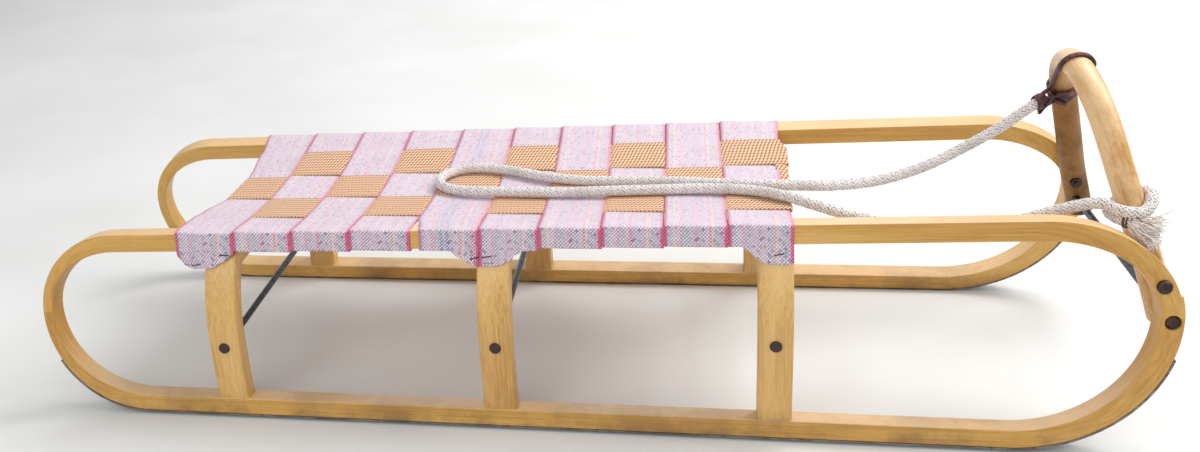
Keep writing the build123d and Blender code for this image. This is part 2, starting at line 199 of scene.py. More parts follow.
class Tree:
    """The node tree of one material, built a socket at a time."""

    def __init__(self, name: str) -> None:
        """Start an empty material.

        Args:
            name: Name of the material.
        """
        self.material = bpy.data.materials.new(name)
        self.material.use_nodes = True
        self.nodes = self.material.node_tree.nodes
        self.links = self.material.node_tree.links
        self.nodes.clear()

    def node(self, kind: str, inputs: dict | None = None, **settings) -> bpy.types.Node:
        """Add a node.

        Args:
            kind: Blender's name of the node type.
            inputs: Values or sockets for its inputs, by name or number.
            settings: Its own settings.

        Returns:
            The node.
        """
        made = self.nodes.new(kind)
        for key, value in settings.items():
            setattr(made, key, value)
        for key, value in (inputs or {}).items():
            self.feed(made.inputs[key], value)
        return made

    def feed(self, socket: Socket, value) -> None:
        """Link a socket to an input, or write a plain value on it."""
        if isinstance(value, Socket):
            self.links.new(value, socket)
        elif isinstance(value, tuple) and socket.type == "RGBA":
            socket.default_value = (*value, 1.0)
        else:
            socket.default_value = value

    def maths(self, operation: str, *values, clamp: bool = False) -> Socket:
        """Work out a number from others.

        Args:
            operation: Blender's name of the sum.
            values: Numbers or sockets.
            clamp: Whether the result is kept from 0 to 1.

        Returns:
            The result's socket.
        """
        made = self.node("ShaderNodeMath", operation=operation, use_clamp=clamp)
        for number, value in enumerate(values):
            self.feed(made.inputs[number], value)
        return made.outputs[0]

    # Short names of the commonest sums
    times = partialmethod(maths, "MULTIPLY")
    times_add = partialmethod(maths, "MULTIPLY_ADD")
    plus = partialmethod(maths, "ADD")
    minus = partialmethod(maths, "SUBTRACT")

    def place(self) -> tuple:
        """Give the x, y and z sockets of the object's own coordinates."""
        split = self.node("ShaderNodeSeparateXYZ", {0: self.node("ShaderNodeTexCoord").outputs["Object"]})
        return tuple(split.outputs[:3])

    def cloth(self) -> tuple:
        """Give the sockets of the cloth's own coordinates, across and along, in metres."""
        split = self.node("ShaderNodeSeparateXYZ", {0: self.node("ShaderNodeTexCoord").outputs["UV"]})
        return tuple(split.outputs[:2])

    def point(self, x, y, z) -> Socket:
        """Join three numbers to a place."""
        return self.node("ShaderNodeCombineXYZ", {0: x, 1: y, 2: z}).outputs[0]

    def where(self) -> Socket:
        """Give the object's own coordinates as one place."""
        return self.point(*self.place())

    def scaled(self, *pairs: tuple) -> Socket:
        """Join values, each times its own factor, to a place. A missing one is 0."""
        values = [self.times(value, factor) for value, factor in pairs]
        return self.point(*values, *[0.0] * (3 - len(values)))

    def facing(self) -> Socket:
        """Give how far the surface looks up, 1 where it is level."""
        normal = self.node("ShaderNodeNewGeometry").outputs["Normal"]
        return self.node("ShaderNodeSeparateXYZ", {0: normal}).outputs[2]

    def ridges(self, value) -> Socket:
        """Give round ridges from 0 to 1, one for each whole step of a value."""
        return self.maths("ABSOLUTE", self.maths("SINE", self.times(value, math.pi)))

    def noise(self, where, scale: float = 1.0, detail: float = 2.0, rough: float = 0.5) -> Socket:
        """Give soft random values, mostly from 0.3 to 0.7, at a place."""
        inputs = {"Vector": where, "Scale": scale, "Detail": detail, "Roughness": rough}
        return self.node("ShaderNodeTexNoise", inputs).outputs[0]

    def fade(self, value, low: float, high: float, start: float = 0.0, end: float = 1.0) -> Socket:
        """Turn the range from low to high into the range from start to end, and keep to it."""
        inputs = {"Value": value, "From Min": low, "From Max": high, "To Min": start, "To Max": end}
        return self.node("ShaderNodeMapRange", inputs).outputs[0]

    def ramp(self, value, stops: list[tuple[float, Colour]], hard: bool = False) -> Socket:
        """Colour a value.

        Args:
            value: Socket of the value.
            stops: Places from 0 to 1 and their colours.
            hard: Whether each colour holds up to the next stop.

        Returns:
            The colour's socket.
        """
        made = self.node("ShaderNodeValToRGB", {0: value})
        made.color_ramp.interpolation = "CONSTANT" if hard else "LINEAR"
        elements = made.color_ramp.elements
        while len(elements) < len(stops):
            elements.new(0.5)
        for element, (place, colour) in zip(elements, stops):
            element.position = place
            element.color = (*colour, 1.0)
        return made.outputs[0]

    def mix(self, share, first, second, blend: str = "MIX") -> Socket:
        """Mix two colours by a share from 0 to 1."""
        made = self.node("ShaderNodeMix", data_type="RGBA", blend_type=blend, clamp_factor=True)
        self.feed(made.inputs[0], share)
        self.feed(made.inputs[6], first)
        self.feed(made.inputs[7], second)
        return made.outputs[2]

    def bump(self, height, depth: float, strength: float = 1.0) -> Socket:
        """Give the normal of a relief of this depth in metres."""
        return self.node("ShaderNodeBump", {"Strength": strength, "Distance": depth, "Height": height}).outputs[0]

    def finish(self, colour, rough, normal=None, **constants) -> Material:
        """Close the tree with its surface.

        Args:
            colour: Base colour.
            rough: Roughness.
            normal: Normal of the relief, if there is one.
            constants: Other inputs of the shader, with underscores for spaces.

        Returns:
            The finished material.
        """
        shader = self.node("ShaderNodeBsdfPrincipled", {"Base Color": colour, "Roughness": rough})
        if normal is not None:
            self.links.new(normal, shader.inputs["Normal"])
        for key, value in constants.items():
            self.feed(shader.inputs[key.replace("_", " ")], value)
        output = self.node("ShaderNodeOutputMaterial")
        self.links.new(shader.outputs[0], output.inputs[0])
        return self.material


class Grain(Enum):
    """How the fibres run in a piece of wood."""

    LOOP = "round a runner loop"
    ARCH = "up a leg and over"
    BOW = "round the horn bow"


@dataclass(frozen=True)
class VarnishedWood:
    """Bent beech under honey varnish, with fine fibres that follow the bends."""

    name: str
    grain: Grain
    dark: Colour = ink(180, 128, 54)
    middle: Colour = ink(206, 156, 74)
    light: Colour = ink(220, 176, 98)
    # Paler colour of sun-bleached varnish, used also as painted highlight on upward and lit faces
    bleach_and_highlight: Colour = ink(238, 204, 158)
    fleck: Colour = ink(140, 92, 42)
    dirt: Colour = ink(112, 84, 50)
    grime: Colour = ink(84, 56, 26)
    # Amber stain, laid on the bow's left leg also as painted shade
    amber_stain_and_shade: Colour = ink(134, 82, 14)

    def loop_lines(self, tree: Tree) -> tuple:
        """Give distance along a loop, across it and depth under its outer face."""
        rear_bend, front_bend = -0.500, 0.460
        middle_slope, middle_height = 0.0252, 0.1341
        shoe_gap, rail_reach = 0.0032, 0.0945
        squeeze_below, squeeze_change = 0.95, -0.09
        bend_radius, runner_start = 0.115, -1.35
        x, y, z = tree.place()
        straight = tree.maths("MINIMUM", tree.maths("MAXIMUM", x, rear_bend), front_bend)
        middle = tree.times_add(straight, middle_slope, middle_height)
        above = tree.maths("GREATER_THAN", z, middle)
        rise = tree.minus(z, middle)
        room = tree.minus(middle, shoe_gap)
        reach = tree.plus(tree.times(above, tree.minus(rail_reach, room)), room)
        beyond = tree.minus(x, straight)
        squeeze = tree.times_add(above, squeeze_change, squeeze_below)
        run = tree.times(beyond, squeeze)
        radius = tree.maths("SQRT", tree.times_add(run, run, tree.times(rise, rise)))
        depth = tree.minus(reach, radius)
        angle = tree.maths("ARCTAN2", run, tree.maths("ABSOLUTE", rise))
        along = tree.times_add(angle, bend_radius, straight)
        back = tree.minus(runner_start, along)
        length = tree.plus(tree.times(above, tree.minus(along, back)), back)
        return length, y, depth

    def arch_lines(self, tree: Tree) -> tuple:
        """Give distance along an arch, across it and depth under its outer face."""
        leg_side, beam_top, blend = 0.1855, 0.213, 0.03
        x, y, z = tree.place()
        side = tree.maths("ABSOLUTE", y)
        length = tree.minus(z, side)
        depth = tree.maths("SMOOTH_MIN", tree.minus(leg_side, side), tree.minus(beam_top, z), blend)
        return length, x, depth

    def bow_lines(self, tree: Tree) -> tuple:
        """Give distance along the bow, across its plane and depth within its plane."""
        x, y, z = tree.place()
        lean = SLED.bow_lean
        forward = tree.minus(x, SLED.bow_x)
        upward = tree.minus(z, SLED.bow_z)
        up = tree.times_add(forward, -math.sin(lean), tree.times(upward, math.cos(lean)))
        across = tree.times_add(forward, math.cos(lean), tree.times(upward, math.sin(lean)))
        side = tree.maths("ABSOLUTE", y)
        tilt = SLED.bow_tilt
        leg = tree.times_add(side, math.cos(tilt), tree.times(up, math.sin(tilt)))
        crown_up = tree.minus(up, SLED.crown_up)
        crown = tree.maths("SQRT", tree.times_add(side, side, tree.times(crown_up, crown_up)))
        bent = tree.maths("GREATER_THAN", crown_up, tree.times(side, math.tan(tilt)))
        from_leg = tree.minus(leg, SLED.bow_leg)
        from_crown = tree.minus(crown, SLED.crown_radius)
        depth = tree.times_add(bent, tree.minus(from_crown, from_leg), from_leg)
        length = tree.minus(up, side)
        return length, across, depth

    def build(self) -> Material:
        """Make the material."""
        tree = Tree(self.name)
        lines = {Grain.LOOP: self.loop_lines, Grain.ARCH: self.arch_lines, Grain.BOW: self.bow_lines}
        length, across, depth = lines[self.grain](tree)

        def stretched(along: float, over: float) -> Socket:
            """Give a place drawn out along the fibres."""
            return tree.scaled((length, along), (across, over), (depth, over))

        x, y, z = tree.place()
        where = tree.point(x, y, z)
        broad = tree.noise(stretched(2.0, 22.0), detail=2.0)
        fibres = tree.noise(stretched(9.0, 420.0), detail=3.0, rough=0.6)
        flecks = tree.noise(stretched(95.0, 1500.0), detail=1.0)
        tone = tree.times_add(fibres, 0.4, tree.times(broad, 0.6))
        colour = tree.ramp(tone, [(0.36, self.dark), (0.5, self.middle), (0.64, self.light)])
        colour = tree.mix(tree.fade(flecks, 0.62, 0.74, 0.0, 0.30), colour, self.fleck)
        blotches = tree.noise(where, scale=14.0, detail=5.0, rough=0.7)
        # Upward faces turn paler: partly sun-bleaching, partly painted top light
        top_bleach_and_light = tree.times(tree.fade(tree.facing(), 0.35, 0.95, 0.0, 0.62), tree.fade(blotches, 0.25, 0.6, 0.7, 1.0))
        colour = tree.mix(top_bleach_and_light, colour, self.bleach_and_highlight)
        near_ground = tree.fade(z, 0.003, 0.040, 0.7, 0.0)
        stain = tree.times(near_ground, tree.fade(blotches, 0.42, 0.62))
        colour = tree.mix(stain, colour, self.dirt)
        smudge = tree.fade(tree.noise(where, scale=38.0, detail=3.0), 0.58, 0.76, 0.0, 0.25)
        colour = tree.mix(smudge, colour, self.dark)
        coat, shine = 0.35, 0.4
        if self.grain is Grain.BOW:
            # The left leg lies in shade and is stained darker amber, partly real stain and partly painted shade; the
            # lit right leg gets paler rubbed streaks, partly wear and partly painted highlight
            left = tree.fade(y, 0.020, 0.075)
            foot = tree.times(tree.fade(z, 0.300, 0.205, 0.0, 0.8), tree.fade(blotches, 0.30, 0.55, 0.3, 1.0))
            foot = tree.times(foot, tree.times_add(left, 0.65, 0.35))
            # Painted shade on the left leg, mixed with its amber stain
            stain_and_shade = tree.times(left, tree.fade(blotches, 0.20, 0.60, 0.6, 0.95))
            colour = tree.mix(stain_and_shade, colour, self.amber_stain_and_shade)
            colour = tree.mix(foot, colour, self.grime)
            cracks = tree.noise(stretched(60.0, 60.0), scale=2.0, detail=4.0, rough=0.8)
            colour = tree.mix(tree.fade(cracks, 0.58, 0.66, 0.0, 0.5), colour, self.dirt)
            # Paler streaks on the right leg: rubbed wear and painted highlight
            rubbed_and_highlight = tree.noise(stretched(12.0, 40.0), detail=4.0, rough=0.7)
            worn = tree.times(tree.fade(rubbed_and_highlight, 0.42, 0.60, 0.0, 0.75), tree.minus(1.0, left))
            colour = tree.mix(worn, colour, self.bleach_and_highlight)
            coat = tree.times_add(left, -0.34, coat)
            shine = 0.25
        rough = tree.fade(tree.plus(blotches, fibres), 0.7, 1.3, 0.36, 0.56)
        relief = tree.times_add(flecks, -0.5, fibres)
        normal = tree.bump(relief, 0.0005, 0.3)
        return tree.finish(colour, rough, normal, Coat_Weight=coat, Coat_Roughness=0.30, Specular_IOR_Level=shine)


@dataclass(frozen=True)
class Steel:
    """Plain steel that has dulled or browned outdoors; the rods' colours are also darkened as painted shade."""

    name: str
    bright: Colour
    dull: Colour
    rust: Colour
    rusty: float
    rough: float
    head_from: float = 1.0

    def build(self) -> Material:
        """Make the material."""
        tree = Tree(self.name)
        x, y, z = tree.place()
        where = tree.point(x, y, z)
        scratches = tree.noise(tree.point(tree.times(x, 30.0), tree.times(y, 900.0), z), detail=3.0)
        patches = tree.noise(where, scale=90.0, detail=5.0, rough=0.65)
        colour = tree.mix(tree.fade(scratches, 0.35, 0.65), self.dull, self.bright)
        head = tree.maths("GREATER_THAN", tree.maths("ABSOLUTE", y), self.head_from)
        spread = tree.fade(patches, 0.62 - 0.3 * self.rusty, 0.78 - 0.3 * self.rusty)
        spread = tree.maths("MAXIMUM", spread, tree.times(head, 0.88))
        colour = tree.mix(spread, colour, self.rust)
        metal = tree.minus(1.0, tree.times(spread, 0.85))
        polish = tree.fade(scratches, 0.3, 0.7, self.rough, self.rough + 0.12)
        rough = tree.plus(tree.times(spread, 0.35), polish)
        relief = tree.times_add(patches, 0.7, tree.times(scratches, 0.3))
        return tree.finish(colour, rough, tree.bump(relief, 0.0004, 0.4), Metallic=metal)


@dataclass(frozen=True)
class StripedWebbing:
    """White and lilac tweed with pink borders, woven in a steep twill."""

    name: str
    stripes: tuple
    width: float = 0.0665
    thread: float = 0.0019
    pale: Colour = ink(254, 246, 249)
    # Dark lilac of flecked yarn, used also as painted shade in the twill's grooves
    dark_yarn_and_shade: Colour = ink(142, 122, 146)
    cream: Colour = ink(244, 234, 230)
    # Paler pink that upward faces take as painted top light
    painted_top_light: Colour = ink(255, 234, 242)

    def build(self) -> Material:
        """Make the material. Its cloth coordinates run from 0 to 1 across and in metres along."""
        tree = Tree(self.name)
        share, along = tree.cloth()
        across = tree.times(share, self.width)
        wobble = tree.noise(tree.scaled((across, 60.0), (along, 110.0)))
        fuzzy = tree.times_add(tree.minus(wobble, 0.5), 0.018, share)
        warp = tree.ramp(fuzzy, list(self.stripes), hard=True)
        column = tree.maths("FLOOR", tree.maths("DIVIDE", across, self.thread))
        row = tree.maths("FLOOR", tree.maths("DIVIDE", along, self.thread))
        cell = tree.point(column, row, 0.0)
        speck = tree.node("ShaderNodeTexWhiteNoise", {"Vector": cell}, noise_dimensions="3D").outputs["Value"]
        turn = tree.maths("FLOORED_MODULO", tree.plus(column, row), 2.0)
        over = tree.maths("LESS_THAN", turn, 0.5)
        weft = tree.ramp(speck, [(0.0, self.dark_yarn_and_shade), (0.16, self.pale), (1.0, self.cream)])
        rear_edge = tree.fade(share, 0.045, 0.060, 0.75, 0.0)
        selvedge = tree.maths("MAXIMUM", rear_edge, tree.fade(share, 0.940, 0.955, 0.0, 0.75))
        weft = tree.mix(selvedge, weft, warp)
        colour = tree.mix(over, weft, tree.mix(0.22, warp, self.dark_yarn_and_shade))
        fibre = tree.node("ShaderNodeTexWhiteNoise", {"Vector": tree.point(row, column, 3.0)}, noise_dimensions="3D")
        colour = tree.mix(tree.fade(fibre.outputs["Value"], 0.50, 1.0, 0.0, 0.24), colour, self.dark_yarn_and_shade)
        ridge = tree.ridges(tree.maths("DIVIDE", tree.plus(across, along), self.thread * 2))
        # Upward faces turn paler: painted top light
        colour = tree.mix(tree.fade(tree.facing(), 0.45, 0.95, 0.0, 0.42), colour, self.painted_top_light)
        # Darker between the twill's diagonal ridges: painted shade in the grooves
        colour = tree.mix(tree.fade(ridge, 0.0, 0.55, 0.36, 0.0), colour, self.dark_yarn_and_shade)
        soil = tree.noise(tree.point(across, along, 0.3), scale=22.0, detail=4.0)
        colour = tree.mix(tree.fade(soil, 0.5, 0.75, 0.0, 0.16), colour, ink(180, 164, 160))
        relief = tree.times_add(speck, 0.35, ridge)
        return tree.finish(colour, 0.92, tree.bump(relief, 0.0008, 0.9), Sheen_Weight=0.15, Specular_IOR_Level=0.2)


@dataclass(frozen=True)
class TwillWebbing:
    """Tan webbing in a thick twill: ribs along the strap, each a row of slanted stitches."""

    name: str
    light: Colour = ink(244, 204, 170)
    middle: Colour = ink(232, 182, 136)
    # Brown of darker fibres and of the painted shade in the weave's grooves
    dark: Colour = ink(138, 88, 60)
    rib: float = 0.0072
    stitch: float = 0.0043

    def build(self) -> Material:
        """Make the material. Its cloth coordinates are metres, across and along."""
        tree = Tree(self.name)
        across, along = tree.cloth()
        wander = tree.noise(tree.scaled((across, 70.0), (along, 70.0)))
        bent = tree.times_add(wander, 0.0030, across)
        line = tree.maths("DIVIDE", bent, self.rib)
        lean = tree.times(tree.maths("FRACT", line), 0.85)
        offset = tree.times(tree.maths("FLOOR", line), 0.45)
        phase = tree.plus(tree.maths("DIVIDE", along, self.stitch), tree.minus(offset, lean))
        stitches = tree.maths("POWER", tree.ridges(phase), 0.8)
        relief = tree.times(stitches, tree.maths("POWER", tree.ridges(line), 0.45))
        fibres = tree.noise(tree.scaled((across, 900.0), (along, 500.0)))
        # The colour follows the relief, so grooves between stitches and ribs come out dark: painted shade
        tone = tree.times_add(fibres, 0.3, tree.times(relief, 0.8))
        colour = tree.ramp(tone, [(0.30, self.dark), (0.56, self.middle), (0.88, self.light)])
        height = tree.times_add(fibres, 0.15, relief)
        return tree.finish(colour, 0.88, tree.bump(height, 0.0014, 0.8), Sheen_Weight=0.12, Specular_IOR_Level=0.2)


@dataclass(frozen=True)
class CottonRope:
    """Greyish white cotton, a little soiled. Cloth coordinates run round a strand and along it."""

    name: str
    light: Colour = ink(246, 240, 236)
    # Grey of darker fibres and of the painted shade between yarns and strands
    dark: Colour = ink(122, 112, 108)
    soil: Colour = ink(172, 158, 150)

    def build(self) -> Material:
        """Make the material."""
        tree = Tree(self.name)
        around, along = tree.cloth()
        yarn = tree.plus(tree.times(around, 6.0), tree.times(along, 420.0))
        groove = tree.ridges(yarn)
        edge = tree.maths("ABSOLUTE", tree.maths("COSINE", tree.times(around, 2 * math.pi)))
        where = tree.where()
        fuzz = tree.noise(where, scale=900.0, detail=3.0)
        soiled = tree.noise(where, scale=30.0, detail=4.0)
        # Darker along the yarn grooves and each strand's edges, where strands meet: painted shade
        tone = tree.times_add(fuzz, 0.5, tree.times(groove, 0.5))
        tone = tree.minus(tone, tree.fade(edge, 0.62, 1.0, 0.0, 0.75))
        colour = tree.ramp(tone, [(0.15, self.dark), (0.62, self.light)])
        colour = tree.mix(tree.fade(soiled, 0.5, 0.75, 0.0, 0.4), colour, self.soil)
        return tree.finish(colour, 0.95, tree.bump(tone, 0.0005, 0.6), Sheen_Weight=0.2, Specular_IOR_Level=0.15)


@dataclass(frozen=True)
class Leather:
    """Old leather lace, dark brown and dry, paler in patches that stand partly for rubbed wear and partly for painted
    highlights.
    """

    name: str
    dark: Colour = ink(40, 20, 21)
    middle: Colour = ink(84, 40, 40)
    rubbed_and_highlight: Colour = ink(150, 92, 90)

    def build(self) -> Material:
        """Make the material."""
        tree = Tree(self.name)
        where = tree.where()
        grain = tree.node("ShaderNodeTexVoronoi", {"Vector": where, "Scale": 900.0}).outputs["Distance"]
        wear = tree.noise(where, scale=120.0, detail=4.0, rough=0.65)
        # Paler in random patches: partly rubbed leather, partly painted highlight
        colour = tree.ramp(wear, [(0.38, self.dark), (0.54, self.middle), (0.72, self.rubbed_and_highlight)])
        relief = tree.times_add(wear, 0.6, tree.times(grain, 0.5))
        return tree.finish(colour, tree.fade(wear, 0.3, 0.7, 0.42, 0.68), tree.bump(relief, 0.0006, 0.7))


# Cords and laces


class Route:
    """A smooth line through space with a frame at each step."""

    def __init__(self, name: str, points: list[Point], step: float) -> None:
        """Run a curve along a route.

        Args:
            name: Name of the curve while it is read.
            points: Points of the route, in metres.
            step: Distance between the places that are kept.
        """
        self.places = self.even(self.read(name, points), step)
        self.step = (self.places[1] - self.places[0]).length
        self.frames = self.carry()

    @staticmethod
    def read(name: str, points: list[Point]) -> list[Vector]:
        """Read the line of a curve that follows a route's points.

        Args:
            name: Name of the curve while it is read.
            points: Points of the route.

        Returns:
            Close points along the curve.
        """
        curve = bpy.data.curves.new(name, "CURVE")
        curve.dimensions = "3D"
        curve.resolution_u = 24
        spline = curve.splines.new("NURBS")
        spline.points.add(len(points) - 1)
        for place, point in zip(spline.points, points):
            place.co = (*point, 1.0)
        spline.order_u = 3
        spline.use_endpoint_u = True
        holder = bpy.data.objects.new(name, curve)
        bpy.context.collection.objects.link(holder)
        bpy.context.view_layer.update()
        mesh = bpy.data.meshes.new_from_object(holder)
        line = [vertex.co.copy() for vertex in mesh.vertices]
        bpy.data.meshes.remove(mesh)
        bpy.data.objects.remove(holder)
        bpy.data.curves.remove(curve)
        return line

    @staticmethod
    def even(line: list[Vector], step: float) -> list[Vector]:
        """Place points on a line about one step apart.

        Args:
            line: Close points along the line.
            step: Distance wanted.

        Returns:
            Points at equal distances, both ends included.
        """
        lengths = [0.0]
        for before, after in zip(line, line[1:]):
            lengths.append(lengths[-1] + (after - before).length)
        count = max(2, round(lengths[-1] / step))
        places, at = [], 0
        for number in range(count + 1):
            target = lengths[-1] * number / count
            while at < len(line) - 2 and lengths[at + 1] < target:
                at += 1
            span = lengths[at + 1] - lengths[at]
            share = (target - lengths[at]) / span if span > 0 else 0.0
            places.append(line[at].lerp(line[at + 1], min(share, 1.0)))
        return places

    def ahead(self, number: int) -> Vector:
        """Give the line's direction at one of its places."""
        before = self.places[max(number - 1, 0)]
        after = self.places[min(number + 1, len(self.places) - 1)]
        return (after - before).normalized()

    def carry(self) -> list[tuple[Vector, Vector]]:
        """Carry a side and an up direction along the line without twist."""
        frames = []
        side = self.ahead(0).orthogonal().normalized()
        for number in range(len(self.places)):
            ahead = self.ahead(number)
            side = (side - ahead * side.dot(ahead)).normalized()
            frames.append((side, ahead.cross(side)))
        return frames


@dataclass
class MeshParts:
    """Corners, faces and cloth coordinates that are gathered into one piece."""

    points: list = field(default_factory=list)
    faces: list = field(default_factory=list)
    uv: list = field(default_factory=list)

    def tube(self, places: list[Vector], frames: list, half_width: float, half_height: float, sides: int) -> None:
        """Add a closed tube of oval section.

        Args:
            places: Middle of each section.
            frames: Side and up direction of each section.
            half_width: Half of the section's width, along its side direction.
            half_height: Half of its height.
            sides: Corners of a section.
        """
        first = len(self.points)
        along = 0.0
        for number, (place, (side, up)) in enumerate(zip(places, frames)):
            along += (place - places[number - 1]).length if number else 0.0
            for corner in range(sides):
                angle = 2 * math.pi * corner / sides
                self.points.append(place + side * math.cos(angle) * half_width + up * math.sin(angle) * half_height)
                self.uv.append((corner / sides, along))
        for number in range(len(places) - 1):
            ring = first + number * sides
            for corner in range(sides):
                after = (corner + 1) % sides
                self.faces.append((ring + corner, ring + after, ring + sides + after, ring + sides + corner))
        self.faces.append(tuple(first + corner for corner in reversed(range(sides))))
        last = first + (len(places) - 1) * sides
        self.faces.append(tuple(last + corner for corner in range(sides)))

    def piece(self, name: str) -> Piece:
        """Make the piece."""
        return mesh_piece(name, self.points, self.faces, self.uv)


@dataclass(frozen=True)
class Braid:
    """A round braid: two sets of flat strands that wind opposite ways and pass over each other."""

    diameter: float = SLED.rope_diameter
    strands: int = 8
    pitch: float = 0.034
    ripple: float = 0.00045
    half_width: float = 0.00178
    half_height: float = 0.0011

    def add_to(self, parts: MeshParts, route: Route, first: int, last: int) -> None:
        """Add the strands of a stretch of rope.

        Args:
            parts: The piece that takes them.
            route: The rope's line.
            first: Number of the stretch's first place on the line.
            last: Number of its last place.
        """
        radius = self.diameter / 2 - self.half_height - self.ripple
        slope = 2 * math.pi * radius / self.pitch
        for hand in (1, -1):
            for strand in range(self.strands):
                places, frames = [], []
                for number in range(first, last + 1):
                    side, up = route.frames[number]
                    turn = 2 * math.pi * number * route.step / self.pitch
                    angle = hand * turn + 2 * math.pi * strand / self.strands
                    lift = hand * self.ripple * math.cos(self.strands * turn)
                    outward = swing(side, up, angle)
                    around = up * math.cos(angle) - side * math.sin(angle)
                    flat = (around - side.cross(up) * slope * hand).normalized()
                    places.append(route.places[number] + outward * (radius + lift))
                    frames.append((flat, outward))
                parts.tube(places, frames, self.half_width, self.half_height, 6)
        core = radius - 0.0003
        parts.tube(route.places[first : last + 1], route.frames[first : last + 1], core, core, 8)


def leg_point(side: int, distance: float) -> tuple[Vector, Vector]:
    """Give a place on the straight stretch of one leg of the bow.

    Args:
        side: 1 for the left leg, -1 for the right one.
        distance: Distance up the leg along its line, 0.08 to 0.20.

    Returns:
        The place and the direction up the leg.
    """
    up_leg = Vector((-0.254906, -0.351496 * side, 0.900818))
    start = Vector((0.544744, 0.081426 * side, 0.292295))
    return start + up_leg * (distance - 0.180), up_leg


def round_leg(side: int, turns: list[tuple[float, float, float]]) -> list[Point]:
    """Place points round a leg of the bow.

    Args:
        side: 1 for the left leg, -1 for the right one.
        turns: Rows of angle in degrees, distance up the leg and distance from its middle. Angle 0 is
            ahead of the leg, 90 to the sled's left and 180 behind.

    Returns:
        The points.
    """
    points = []
    for angle, distance, radius in turns:
        place, up_leg = leg_point(side, distance)
        ahead = (Vector((1, 0, 0)) - up_leg * up_leg.x).normalized()
        left = up_leg.cross(ahead)
        points.append(tuple(place + swing(ahead, left, math.radians(angle)) * radius))
    return points


